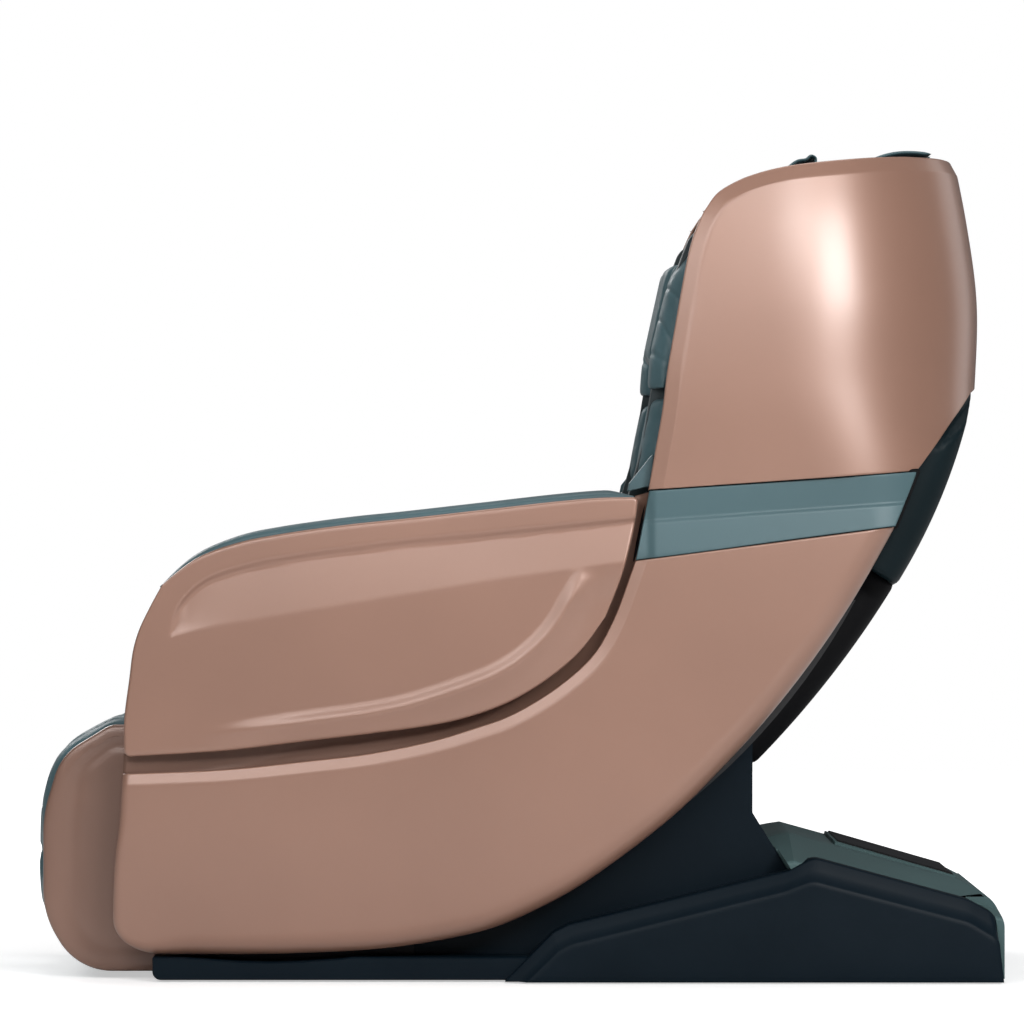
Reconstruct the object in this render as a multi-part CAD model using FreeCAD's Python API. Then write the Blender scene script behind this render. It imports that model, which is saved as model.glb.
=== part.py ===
"""Massage chair: a tilting capsule that glides on a low base.

X points to the rear (the sitter faces -X), Y to the sitter's right, Z up.
The origin is on the floor, at the middle of the chair's box. Sizes are in millimetres.
"""
import FreeCAD, Part
import math
import os

V = FreeCAD.Vector
X_AXIS, Y_AXIS, Z_AXIS = V(1, 0, 0), V(0, 1, 0), V(0, 0, 1)

# Glide: the capsule tilts about a line above the seat, on arc rails concentric with its round back
GLIDE_X, GLIDE_Z = -356.0, 994.0
SHELL_R = 963.0
RAIL_R_IN, RAIL_R_OUT = 900.0, 946.0
ROLLER_R, ROLLER_IN, ROLLER_OUT = 18.9, 267.5, 283.0
ROLLER_TRACK_R = 923.0
ROLLER_FRONT_DEG, ROLLER_REAR_DEG = -96.0, -58.0

# Layers from the middle plane outwards, as distances from Y = 0
SPINE_HALF = 228.0
TOWER_IN, TOWER_OUT = 246.0, 254.0
COVER_IN, COVER_OUT = 243.0, 262.0
RAIL_IN, RAIL_OUT = 266.0, 290.0
PLATE_IN, PLATE_OUT = 292.0, 298.0
SHELL_IN = 300.0
OUTER_LIMIT = 420.0

# Outer shells
WALL = 4.0
HALF_WIDTH = 372.0
HALF_WIDTH_FRONT, HALF_WIDTH_REAR = 346.0, 352.0
HALF_WIDTH_LOW, HALF_WIDTH_BAND = 356.0, 363.0
BODY_FRONT, BODY_BOTTOM = -579.0, 38.0

# Leg pod
HINGE_X, HINGE_Z = -497.0, 352.0
POD_FRONT, POD_BACK, POD_BOTTOM = -693.0, -513.0, 8.0
POD_HALF, LEG_PANEL, LEG_RIM = 236.0, 16.0, 12.0
HINGE_SHAFT_R, HINGE_TUBE_R = 8.0, 14.0
SLIDE_ROD_R, SLIDE_Y = 10.0, 150.0
FOOT_ROLLER_X, FOOT_ROLLER_Z = -628.0, 66.0
WELL_Y, WELL_HALF, WELL_BACK, WELL_FLOOR = 118.0, 68.0, -548.0, 74.0

# Back: its surface leans this far from upright
BACK_LEAN_DEG = 12.0
BACK_FOOT_X, BACK_FOOT_Z = 115.0, 400.0
TRACK_DEPTH = 170.0
TRACK_IN, TRACK_OUT = 205.0, 235.0
TRACK_TOP = 640.0
CARRIAGE_AT, CARRIAGE_HALF = 330.0, 196.0
WALKING_AXLE, GUIDE_AXLE = -50.0, 52.0
AXLE_R, AXLE_WHEEL_R, KNEADING_R = 5.0, 15.9, 9.0
MASSAGE_ROLLER_R, ARM_REACH, ARM_Y = 34.0, 62.0, 78.0
ROLLER_FORWARD = 52.0
PIN_R = 6.0

# Base
BASE_REAR, LID_REAR = 693.0, 692.0
SIDE_COVER_OUT = 367.0
RAIL_COVER_OUT = 332.0
FRAME_TOP, PAN_TOP = 40.0, 42.5
BEAM_IN, BEAM_OUT, CROSS_BEAM = 214.0, 242.0, 30.0
CROSS_BEAMS_X = (-470.0, -120.0, 60.0, 368.0, 640.0)
FOOT_HEIGHT, FOOT_R = 4.0, 13.0
LID_HALF, LID_WALL_OUT, LID_WALL_IN = 347.0, 298.0, 295.0
RUN = 0.05


def point(plane, a, b, offset=0.0):
    """A point given by two coordinates in a plane and the distance from it."""
    if plane == "xz":
        return V(a, offset, b)
    if plane == "xy":
        return V(a, b, offset)
    return V(offset, a, b)


def outline(corners, plane="xz", offset=0.0):
    """A closed wire through corners (a, b) or (a, b, radius), with a tangent arc at each radius."""
    points = [point(plane, c[0], c[1], offset) for c in corners]
    radii = [c[2] if len(c) > 2 else 0.0 for c in corners]
    count = len(points)
    spans = []
    for i in range(count):
        here = points[i]
        if radii[i] <= 0.0:
            spans.append((here, None, here))
            continue
        back = (points[i - 1] - here).normalize()
        ahead = (points[(i + 1) % count] - here).normalize()
        half = back.getAngle(ahead) / 2.0
        reach = radii[i] / math.tan(half)
        middle = (back + ahead).normalize() * (radii[i] / math.sin(half) - radii[i])
        spans.append((here + back * reach, here + middle, here + ahead * reach))
    edges = []
    for i in range(count):
        start, middle, end = spans[i]
        if middle is not None:
            edges.append(Part.Arc(start, middle, end).toShape())
        following = spans[(i + 1) % count][0]
        if (following - end).Length > 1e-6:
            edges.append(Part.LineSegment(end, following).toShape())
    return Part.Wire(edges)


def slab(corners, low, high, plane="xz"):
    """A plate with the given outline between two distances from its plane."""
    face = Part.Face(outline(corners, plane, low))
    direction = {"xz": Y_AXIS, "xy": Z_AXIS, "yz": X_AXIS}[plane]
    return face.extrude(direction * (high - low))


def inset(corners, amount):
    """The outline's corners moved inwards (negative: outwards) by the same distance on every side."""
    count = len(corners)
    area = sum(corners[i][0] * corners[(i + 1) % count][1] - corners[(i + 1) % count][0] * corners[i][1]
               for i in range(count))
    turn = 1.0 if area > 0 else -1.0
    moved = []
    for i in range(count):
        before, here, after = corners[i - 1], corners[i], corners[(i + 1) % count]
        ax, az = here[0] - before[0], here[1] - before[1]
        bx, bz = after[0] - here[0], after[1] - here[1]
        al, bl = math.hypot(ax, az), math.hypot(bx, bz)
        n1 = (-az / al * turn, ax / al * turn)
        n2 = (-bz / bl * turn, bx / bl * turn)
        spread = 1.0 + n1[0] * n2[0] + n1[1] * n2[1]
        x = here[0] + (n1[0] + n2[0]) / spread * amount
        z = here[1] + (n1[1] + n2[1]) / spread * amount
        cross = (ax * bz - az * bx) * turn
        radius = here[2] if len(here) > 2 else 0.0
        if radius > 0.0:
            radius = max(radius - amount if cross > 0 else radius + amount, 0.5)
        moved.append((x, z, radius))
    return moved


def box(x0, x1, y0, y1, z0, z1):
    return Part.makeBox(x1 - x0, y1 - y0, z1 - z0, V(x0, y0, z0))


def rod_y(radius, x, z, y0, y1):
    """A round bar along Y."""
    return Part.makeCylinder(radius, y1 - y0, V(x, y0, z), Y_AXIS)


def mirrored(shape):
    return shape.mirror(V(0, 0, 0), Y_AXIS)


def both(shape):
    """A piece and its mirror image on the other side, as two solids of one node."""
    return Part.makeCompound([shape, mirrored(shape)])


def fuse_all(shapes):
    return shapes[0].multiFuse(shapes[1:]).removeSplitter() if len(shapes) > 1 else shapes[0]


def on_arc(radius, degrees):
    """A point (x, z) at a radius and angle about the glide axis, from +X, upwards positive."""
    a = math.radians(degrees)
    return GLIDE_X + radius * math.cos(a), GLIDE_Z + radius * math.sin(a)


def glide_disc(radius, y0=-OUTER_LIMIT, y1=OUTER_LIMIT):
    return rod_y(radius, GLIDE_X, GLIDE_Z, y0, y1)


def save(shape, node):
    solids = shape.Solids
    kept = solids[0] if len(solids) == 1 else Part.makeCompound(solids)
    kept.exportStep("parts/" + node + ".step")


def envelope(depth):
    """The space inside the chair's curved flank, on the +Y side, moved inwards by a depth."""
    front, rear = BODY_FRONT - 60.0, 740.0
    plan_front = V(front, HALF_WIDTH_FRONT - 8.0 - depth, 0)
    plan_rear = V(rear, HALF_WIDTH_REAR - depth, 0)
    plan = Part.Face(Part.Wire([
        Part.Arc(plan_front, V(40.0, HALF_WIDTH - depth, 0), plan_rear).toShape(),
        Part.makePolygon([plan_rear, V(rear, 200, 0), V(front, 200, 0), plan_front])]))
    low = V(0, HALF_WIDTH_LOW - depth, 0)
    top = V(0, HALF_WIDTH_BAND - depth, 720.0)
    section = Part.Face(Part.Wire([
        Part.Arc(low, V(0, HALF_WIDTH - depth, 350.0), top).toShape(),
        Part.makePolygon([top, V(0, 200, 720.0), V(0, 200, 0), low])]))
    section.translate(V(front, 0, 0))
    return plan.extrude(Z_AXIS * 720.0).common(section.extrude(X_AXIS * (rear - front)))


# Side outlines (x, z, radius)
SIDE_SHELL = [
    (BODY_FRONT + 15, 297, 6), (-353, 304, 2400), (89, 384, 385), (166, 601), (537, 650),
    (760, 500), (300, BODY_BOTTOM), (BODY_FRONT, BODY_BOTTOM, 66), (BODY_FRONT, 150, 900)]
ARMREST = [
    (-562, 322, 10), (-357, 331, 2200), (60, 398, 368), (171, 693, 11), (-200, 662, 1500),
    (-518, 616, 200), (-560, 420, 500)]
BAND = [(186, 698), (569, 729), (537, 650), (166, 601)]
HEAD_SIDE = [
    (185, 703), (224, 965, 1600), (282, 1153, 95), (600, 1180, 60), (760, 1120), (760, 850),
    (641, 845), (594, 759, 250), (569, 730)]
SIDE_COVER = [
    (-20, 2), (49, 72), (70, 83, 30), (385, 160, 40), (420, 179, 26), (640, 119, 60), (678, 98, 20),
    (690, 2)]
POD = [
    (POD_BACK, 378, 30), (-590, 378, 40), (-668, 330, 90), (POD_FRONT, 240, 200),
    (POD_FRONT, 90, 135), (-640, POD_BOTTOM, 96), (POD_BACK, POD_BOTTOM, 14)]
LID = [
    (350, 6), (350, 197, 14), (392, 207, 40), (632, 142, 60), (682, 115, 45), (LID_REAR, 84, 30),
    (LID_REAR, 6)]
TOWER = [
    (-505, 10), (-490, 98, 10), (-418, 98, 10), (-396, 50, 12), (-60, 50, 60), (112, 228, 12),
    (303, 358, 10), (332, 348, 6), (332, 240, 6), (384, 152), (384, 10)]
NECK = [(-150, 12), (-150, 60), (110, 240), (300, 362), (336, 350, 4), (336, 239, 3), (388, 154), (388, 12)]

# Rounding of the head shell in plan, from its lower end to its top: height, half width, rear, corner radius
HEAD_SECTIONS = [
    (600, 364, 640, 80), (720, 361, 650, 110), (850, 356, 663, 170), (980, 351, 667, 210),
    (1090, 345, 652, 232), (1190, 336, 622, 240)]
HEAD_WALL, HEAD_LIP = 5.0, 22.0
SPINE_TOP, SPINE_TOP_R = (-174.0, 1014.7), 846.0
SPINE_LOW, SPINE_LOW_R = (-665.3, 1304.3), 1418.0
HEAD_FRONT = 120.0


def head_plan(z, half, rear, radius, depth):
    half, rear, radius = half - depth, rear - depth, radius - depth
    return outline([(HEAD_FRONT, -half), (rear, -half, radius), (rear, half, radius), (HEAD_FRONT, half)],
                   "xy", z)


def head_block(depth):
    wires = [head_plan(z, half, rear, radius, depth) for z, half, rear, radius in HEAD_SECTIONS]
    return Part.makeLoft(wires, True, False)


def make_side_shell():
    """One crescent flank: a hollow shell with a round back, and the floor of the groove above it."""
    body = slab(SIDE_SHELL, SHELL_IN, OUTER_LIMIT).common(envelope(0)).common(glide_disc(SHELL_R))
    hollow = slab(inset(SIDE_SHELL, WALL), SHELL_IN - 1, OUTER_LIMIT).common(envelope(WALL))
    hollow = hollow.common(glide_disc(SHELL_R - WALL))
    shell = body.cut(hollow)
    groove = slab(inset(SIDE_SHELL, -26), 338, 342).cut(slab(SIDE_SHELL, 330, 350))
    groove = groove.cut(slab(inset(ARMREST, -1.5), 330, 350)).cut(slab(inset(BAND, -30), 330, 350))
    groove = groove.common(box(BODY_FRONT + 18, 158, 330, 350, 290, 640))
    piece = max(groove.Solids, key=lambda s: s.Volume)
    return shell.fuse(piece).removeSplitter()


def make_armrest_panel():
    body = slab(ARMREST, 320, OUTER_LIMIT).common(envelope(0))
    hollow = slab(inset(ARMREST, WALL), 319, OUTER_LIMIT).common(envelope(WALL))
    return body.cut(hollow)


def make_armrest_liner():
    """The padded inner wall beside the sitter's hip."""
    wires = [outline(inset(ARMREST, depth), "xz", y)
             for y, depth in ((262, 20), (268, 11), (285, 6), (318, 6))]
    x, z, radius = SEAT_TUBES[0]
    return Part.makeLoft(wires, True, True).cut(rod_y(radius + 0.5, x, z, 250, 330))


def make_armrest_pad():
    """The crowned strip of padding on top of the armrest, higher in its middle."""
    wires = []
    for y, rise in ((266, 2.0), (274, 9.0), (292, 12.5), (314, 14.0), (336, 12.5), (352, 9.0), (359, 2.0)):
        raised = [(c[0] - rise * 0.35, c[1] + rise, c[2]) for c in ARMREST]
        wires.append(outline(raised, "xz", y))
    pad = Part.makeLoft(wires, True, True)
    pad = pad.cut(slab(inset(ARMREST, -0.4), 255, 370))
    pad = pad.common(box(-516, 178, 255, 370, 560, 760))
    return max(pad.Solids, key=lambda s: s.Volume)


def make_head_shell():
    """A hood open to the front and the top, with a lip turned inwards along the opening."""
    outer = head_block(0).common(slab(HEAD_SIDE, -OUTER_LIMIT, OUTER_LIMIT))
    room = [(196, 640), (236, 965, 1200), (292, 1142, 85), (600, 1170, 50), (760, 1100), (760, 640)]
    inner = head_block(HEAD_WALL).common(slab(room, -OUTER_LIMIT, OUTER_LIMIT))
    mouth = slab([(100, 640), (100, 1260), (606, 1260), (606, 1000), (300, 640)], -OUTER_LIMIT, OUTER_LIMIT)
    return outer.cut(inner).cut(mouth.common(head_block(HEAD_LIP)))


def make_band():
    strip = slab(inset(BAND, 0.8), SHELL_IN, OUTER_LIMIT)
    return strip.common(envelope(1.5)).cut(envelope(1.5 + WALL))


def arc_shell(center, radius, half, low_radius, corner, wall, start_deg, end_deg):
    """A trough-shaped cover swept along an arc: round back, straight sides."""
    def profile(depth):
        r, h = radius - depth, half - depth
        inner = low_radius - (1.0 if depth else 0.0)
        bend = corner - depth
        return outline([(inner, -h), (r, -h, bend), (r, h, bend), (inner, h)], "xy", 0.0)
    solids = []
    for depth in (0.0, wall):
        face = Part.Face(profile(depth))
        face.rotate(V(0, 0, 0), Y_AXIS, -start_deg)
        face.translate(V(center[0], 0, center[1]))
        solids.append(face.revolve(V(center[0], 0, center[1]), Y_AXIS, start_deg - end_deg))
    return solids[0].cut(solids[1])


def make_spine_upper():
    cover = arc_shell(SPINE_TOP, SPINE_TOP_R, 296, SPINE_TOP_R - 49, 42, 3.0, -12.0, -32.3)
    return cover.cut(slab(inset(HEAD_SIDE, -1.5), -OUTER_LIMIT, OUTER_LIMIT))


def make_spine_lower():
    return arc_shell(SPINE_LOW, SPINE_LOW_R, SPINE_HALF, SPINE_LOW_R - 70, 34, 3.0, -32.0, -45.0)


def make_side_plates():
    crescent = slab(inset(SIDE_SHELL, 9), PLATE_IN, PLATE_OUT).common(glide_disc(SHELL_R - 12))
    upright = slab([(300, 560), (300, 800), (345, 860), (345, 1020, 20), (530, 1020, 20), (530, 560)],
                   PLATE_IN, PLATE_OUT)
    upright = upright.common(glide_disc(SHELL_R - 12))
    x, z = SPINE_TOP
    cover_room = rod_y(SPINE_TOP_R + 60, x, z, PLATE_IN - 2, PLATE_OUT + 2)
    cover_room = cover_room.cut(rod_y(SPINE_TOP_R - 51, x, z, PLATE_IN - 2, PLATE_OUT + 2))
    cover_room = cover_room.common(box(440, 760, PLATE_IN - 2, PLATE_OUT + 2, 545, 870))
    return both(crescent.fuse(upright).cut(cover_room).removeSplitter())


def sector(r_in, r_out, start_deg, end_deg, y0, y1):
    """A plate bent round the glide axis."""
    mid = (start_deg + end_deg) / 2.0
    pts = [[V(*(on_arc(r, a)[0], y0, on_arc(r, a)[1])) for a in (start_deg, mid, end_deg)]
           for r in (r_in, r_out)]
    edges = [Part.Arc(*pts[0]).toShape(), Part.LineSegment(pts[0][2], pts[1][2]).toShape(),
             Part.Arc(*pts[1]).toShape(), Part.LineSegment(pts[1][0], pts[0][0]).toShape()]
    return Part.Face(Part.Wire(edges)).extrude(Y_AXIS * (y1 - y0))


def make_arc_rails():
    """Channels open towards the middle; the guide rollers run between their two flanges."""
    start, end = -103.0, -34.0
    rail = sector(RAIL_R_IN, RAIL_R_OUT, start, end, RAIL_IN, RAIL_OUT)
    rail = rail.cut(sector(RAIL_R_IN + 4, RAIL_R_OUT - 4, start - 1, end + 1, RAIL_IN - 1, RAIL_OUT - 4))
    return both(rail)


def roller_point(degrees):
    return on_arc(ROLLER_TRACK_R, degrees)


def make_tower_plates():
    plate = slab(TOWER, TOWER_IN, TOWER_OUT)
    pieces = [plate]
    for angle in (ROLLER_FRONT_DEG, ROLLER_REAR_DEG):
        x, z = roller_point(angle)
        pieces.append(rod_y(PIN_R, x, z, TOWER_IN - 4, ROLLER_OUT))
        pieces.append(rod_y(PIN_R + 5, x, z, TOWER_OUT, ROLLER_IN - 1))
    return both(fuse_all(pieces))


def make_guide_rollers(degrees):
    x, z = roller_point(degrees)
    roller = rod_y(ROLLER_R, x, z, ROLLER_IN, ROLLER_OUT)
    roller = roller.cut(rod_y(PIN_R + RUN, x, z, ROLLER_IN - 5, ROLLER_OUT + 5))
    return both(roller)


def make_tower_covers():
    outer = slab(NECK, COVER_IN, COVER_OUT).cut(glide_disc(951.0))
    hollow = slab(inset(NECK, 3), COVER_IN - 1, COVER_OUT - 3)
    cover = outer.cut(hollow)
    cover = cover.cut(box(-200, 400, 230, COVER_OUT - 3, 0, 16))
    cover = cover.cut(slab(inset(TOWER, -0.3), TOWER_IN - 1, TOWER_OUT + 1))
    return both(max(cover.Solids, key=lambda s: s.Volume))


def make_base_frame():
    """Two long tubes joined by cross tubes, with posts for the actuator and the transport axle."""
    side = box(-498, 660, BEAM_IN, BEAM_OUT, FOOT_HEIGHT, FRAME_TOP)
    axle = rod_y(PIN_R, WHEEL_X, WHEEL_Z, BEAM_OUT - 2, WHEEL_OUT + 2)
    pieces = [side, mirrored(side), axle, mirrored(axle)]
    for x in CROSS_BEAMS_X:
        pieces.append(box(x, x + CROSS_BEAM, -BEAM_IN, BEAM_IN, FOOT_HEIGHT, FRAME_TOP - 6))
    for y in (-40, 34):
        for x in (POST_FRONT, POST_REAR):
            pieces.append(box(x, x + CROSS_BEAM, y, y + 6, 30, POST_TOP))
    pieces.append(box(CROSS_BEAMS_X[1], CROSS_BEAMS_X[2] + CROSS_BEAM, -40, 40, 28, FRAME_TOP - 6))
    return fuse_all(pieces)


def make_base_pan():
    return box(356, 684, -240, 240, FRAME_TOP, PAN_TOP)


def make_rail_cover():
    shape = slab([(-523, 3, 16), (-523, 36, 3), (60, 36), (60, 3)], 264, RAIL_COVER_OUT)
    shape = shape.cut(glide_disc(SHELL_R + 2))
    hollow = slab([(-520, 2, 13), (-520, 33), (61, 33), (61, 2)], 263, RAIL_COVER_OUT - 3)
    hollow = hollow.cut(glide_disc(SHELL_R + 5))
    under = slab(inset(SIDE_COVER, -0.4), 290, 400)
    return max(shape.cut(hollow).cut(under).Solids, key=lambda s: s.Volume)


def make_rear_side_cover():
    """The long side cover with a chamfer along its upper edge."""
    core = slab(SIDE_COVER, 300, SIDE_COVER_OUT - 16)
    small = inset(SIDE_COVER, 19)
    steps = [outline(SIDE_COVER, "xz", SIDE_COVER_OUT - 16), outline(small, "xz", SIDE_COVER_OUT)]
    cover = core.fuse(Part.makeLoft(steps, True, True)).removeSplitter()
    cover = cover.fuse(slab([(40, 2), (60, 40), (672, 40), (676, 2)], SIDE_COVER_OUT - 16, SIDE_COVER_OUT))
    hollow = slab(inset(SIDE_COVER, 3), 299, SIDE_COVER_OUT - 19)
    hollow = hollow.fuse(slab([(44, 0), (60, 34), (668, 34), (672, 0)], 299, SIDE_COVER_OUT - 3))
    return cover.removeSplitter().cut(hollow).cut(box(-100, 700, 299, SIDE_COVER_OUT - 3, 0, 6))


def lid_block(depth):
    """The crowned space under the rear lid: its shoulders slope with its top line."""
    half, top = LID_HALF - depth, 206.0 - depth
    shoulder = 174.0 - depth
    section = [(-half, 0), (-half, shoulder, 6), (-170, top, 200), (170, top, 200), (half, shoulder, 6),
               (half, 0)]
    face = Part.Face(outline(section, "yz", 392.0))
    slope = V(1, 0, -0.275)
    run = face.extrude(slope * 330.0)
    front = face.extrude(V(-60, 0, -9))
    return run.fuse(front).common(slab(inset(LID, depth), -OUTER_LIMIT, OUTER_LIMIT))


def make_rear_top_cover():
    """The crowned lid over the electric parts, open below, with slots for the two towers in its front."""
    lid = lid_block(0)
    rear_wall = slab(LID, -LID_WALL_OUT, LID_WALL_OUT)
    rear_wall = rear_wall.common(box(640, 700, -LID_WALL_OUT, LID_WALL_OUT, 4, 120))
    lid = lid.fuse(rear_wall).removeSplitter()
    sides = slab(inset(SIDE_COVER, -0.6), LID_WALL_OUT + 1, 400)
    lid = lid.cut(sides).cut(mirrored(sides))
    inner = LID_REAR - 3
    low = slab([(353, 2), (353, 194, 12), (392, 204, 38), (632, 139, 58), (679, 113, 43), (inner, 84, 28),
                (inner, 2)], -LID_WALL_IN, LID_WALL_IN)
    room = low.common(lid_block(3.2).fuse(box(630, 700, -LID_WALL_IN, LID_WALL_IN, 0, 120)))
    notch = [(330, 300), (341, 239), (394, 152), (394, -20), (330, -20)]
    wall = slab(inset(notch, -3.2), COVER_OUT - 3, 360)
    room = room.cut(wall).cut(mirrored(wall))
    wing = slab(notch, COVER_OUT, 360)
    lid = lid.cut(wing).cut(mirrored(wing))
    lid = lid.cut(room).cut(box(340, inner, -LID_WALL_IN, LID_WALL_IN, 0, 12))
    lid = lid.cut(box(340, 353.5, -LID_WALL_OUT, LID_WALL_OUT, 0, 60))
    neck = slab(inset(NECK, -1), COVER_IN - 1, COVER_OUT + 1)
    lid = lid.cut(neck).cut(mirrored(neck))
    for y, half, tall in ((SOCKET_Y, SOCKET_HALF + 0.3, SOCKET_TALL + 0.3),
                          (SWITCH_Y, SWITCH_HALF + 0.4, 12.0)):
        lid = lid.cut(box(680, 700, y - half, y + half, REAR_PART_Z - tall, REAR_PART_Z + tall))
    return max(lid.Solids, key=lambda s: s.Volume)


ACTUATOR_Z = 194.0
HALF_TILT_DEG = 10.0
ROD_EYE_X = GLIDE_X + (GLIDE_Z - ACTUATOR_Z) * math.tan(math.radians(HALF_TILT_DEG))
HOUSING_FRONT, HOUSING_REAR = -160.0, 158.0
HOUSING_R, MOTOR_BULGE_R, ROD_R = 22.0, 27.0, 12.0
POST_FRONT, POST_REAR, POST_TOP = -100.0, 0.0, 178.0


def make_actuator_housing():
    """A tube with a motor bulge and two feet; the rod comes out of its front end."""
    length = HOUSING_REAR - HOUSING_FRONT
    body = Part.makeCylinder(HOUSING_R, length, V(HOUSING_FRONT, 0, ACTUATOR_Z), X_AXIS)
    bulge = Part.makeCylinder(MOTOR_BULGE_R, 90, V(-40, 0, ACTUATOR_Z), X_AXIS)
    feet = [box(x, x + CROSS_BEAM, -33.5, 33.5, POST_TOP - 18, POST_TOP) for x in (POST_FRONT, POST_REAR)]
    bore = Part.makeCylinder(ROD_R + RUN, length - 4, V(HOUSING_FRONT - 1, 0, ACTUATOR_Z), X_AXIS)
    return fuse_all([body, bulge] + feet).cut(bore)


def make_actuator_rod():
    rod = Part.makeCylinder(ROD_R, 365, V(ROD_EYE_X, 0, ACTUATOR_Z), X_AXIS)
    eye = box(ROD_EYE_X - 14, ROD_EYE_X + 20, -ROD_R, ROD_R, ACTUATOR_Z - 14, ACTUATOR_Z + 14)
    pin = rod_y(8, ROD_EYE_X, ACTUATOR_Z, -26, 26)
    return fuse_all([rod, eye, pin])


# Cross tubes of the capsule: two under the seat (x, z, radius), three behind the back (height up the
# back, radius) at the same depth
SEAT_TUBES = ((-420, 352, 15), (-60, 310, 14))
BACK_TUBES = ((260, 14), (430, 14), (652, 13))
BACK_TUBE_DEPTH = 262.0
PAN_Z0, PAN_Z1 = 376.0, 381.0


def make_capsule_frame():
    """Cross tubes between the side plates, the seat pan, ears for the leg hinge, and the slotted bracket
    that the actuator's pin pushes."""
    pieces = [rod_y(r, x, z, -PLATE_IN, PLATE_IN) for x, z, r in SEAT_TUBES]
    pieces.append(box(-450, 84, -246, 246, PAN_Z0, PAN_Z1))
    slot = box(GLIDE_X - 8.8, GLIDE_X + 8.8, -30, 30, GLIDE_Z - 828, GLIDE_Z - 790)
    slot.rotate(V(GLIDE_X, 0, GLIDE_Z), Y_AXIS, -HALF_TILT_DEG)
    for y in (14.0, -22.0):
        cheek = slab([(-258, 311), (-62, 322), (-58, 298), (-170, 262), (-192, 172, 8), (-234, 152, 8)],
                     y, y + 8)
        pieces.append(cheek.cut(slot))
    ear = slab([(-511, 338, 13), (-511, 366, 13), (-420, 366), (-420, 338)], 240, 252)
    ear = ear.fuse(rod_y(PIN_R, HINGE_X, HINGE_Z, 226, 246))
    props = [ear, box(-430, -410, 60, 240, 352, PAN_Z0), box(-70, -50, 238, 246, 310, PAN_Z0),
             box(-70, -50, TRACK_IN, TRACK_OUT, 310, 332)]
    pieces += props + [mirrored(prop) for prop in props]
    for height, radius in BACK_TUBES:
        x, z = back_point(BACK_TUBE_DEPTH, height)
        pieces.append(rod_y(radius, x, z, -PLATE_IN, PLATE_IN))
        low = height - 24 if height > TRACK_TOP else height - 12
        block = back_frame(box(TRACK_DEPTH + 40, BACK_TUBE_DEPTH, TRACK_IN, TRACK_OUT, low, height + 8))
        pieces += [block, mirrored(block)]
    return fuse_all(pieces)


def make_leg_motor():
    """A gearbox round the hinge shaft, held on the front tube, with its motor hanging below."""
    body = box(-510, -424, -38, 38, 334, 365)
    can = Part.makeCylinder(21, 84, V(-466, 0, 252), Z_AXIS)
    motor = body.fuse(can).removeSplitter().cut(rod_y(15, -420, 352, -60, 60))
    return motor.cut(rod_y(HINGE_SHAFT_R + RUN, HINGE_X, HINGE_Z, -50, 50))


def make_leg_frame():
    """The hinge shaft with two outer tubes that the pod slides on."""
    shaft = rod_y(HINGE_SHAFT_R, HINGE_X, HINGE_Z, -60, 60)
    pieces = [shaft]
    for side in (1, -1):
        tube = rod_y(HINGE_TUBE_R, HINGE_X, HINGE_Z, 42, 234)
        tube = tube.cut(rod_y(PIN_R + RUN, HINGE_X, HINGE_Z, 224, 240))
        sleeve = Part.makeCylinder(14, 176, V(HINGE_X, SLIDE_Y, 176), Z_AXIS)
        sleeve = sleeve.cut(Part.makeCylinder(SLIDE_ROD_R + RUN, 150, V(HINGE_X, SLIDE_Y, 170), Z_AXIS))
        arm = tube.fuse(sleeve)
        pieces.append(arm if side > 0 else mirrored(arm))
    bar = box(HINGE_X - 13, HINGE_X + 7, -138, 138, 190, 206)
    return fuse_all(pieces + [bar])


def make_leg_shell():
    """The pod's rear wall, its partition and the two rods that slide in the hinge frame."""
    back = box(POD_BACK - 3, POD_BACK, -POD_HALF + 2, POD_HALF - 2, 14, 366)
    pieces = [back]
    for y in (SLIDE_Y, -SLIDE_Y):
        pieces.append(Part.makeCylinder(SLIDE_ROD_R, 268, V(HINGE_X, y, 44), Z_AXIS))
        pieces.append(box(POD_BACK - 1, HINGE_X + 10, y - 16, y + 16, 30, 60))
    return fuse_all(pieces)


def make_leg_panel():
    """The copper cheek of the pod, a little smaller than the padding that it carries."""
    edge = [(POD_BACK, 366, 26), (-588, 366, 38), (-660, 322, 84), (POD_FRONT + 7, 236, 190),
            (POD_FRONT + 7, 92, 130), (-637, POD_BOTTOM + 1, 90), (POD_BACK, POD_BOTTOM + 1, 12)]
    rim = slab(edge, POD_HALF + 1, POD_HALF + LEG_RIM - 4)
    steps = [outline(edge, "xz", POD_HALF + LEG_RIM - 4), outline(inset(edge, 5), "xz", POD_HALF + LEG_RIM)]
    crown = Part.makeLoft(steps, True, True)
    steps = [outline(inset(edge, 30), "xz", POD_HALF + LEG_RIM),
             outline(inset(edge, 40), "xz", POD_HALF + LEG_PANEL)]
    boss = Part.makeLoft(steps, True, True)
    return rim.fuse(crown).fuse(boss).removeSplitter()


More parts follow.
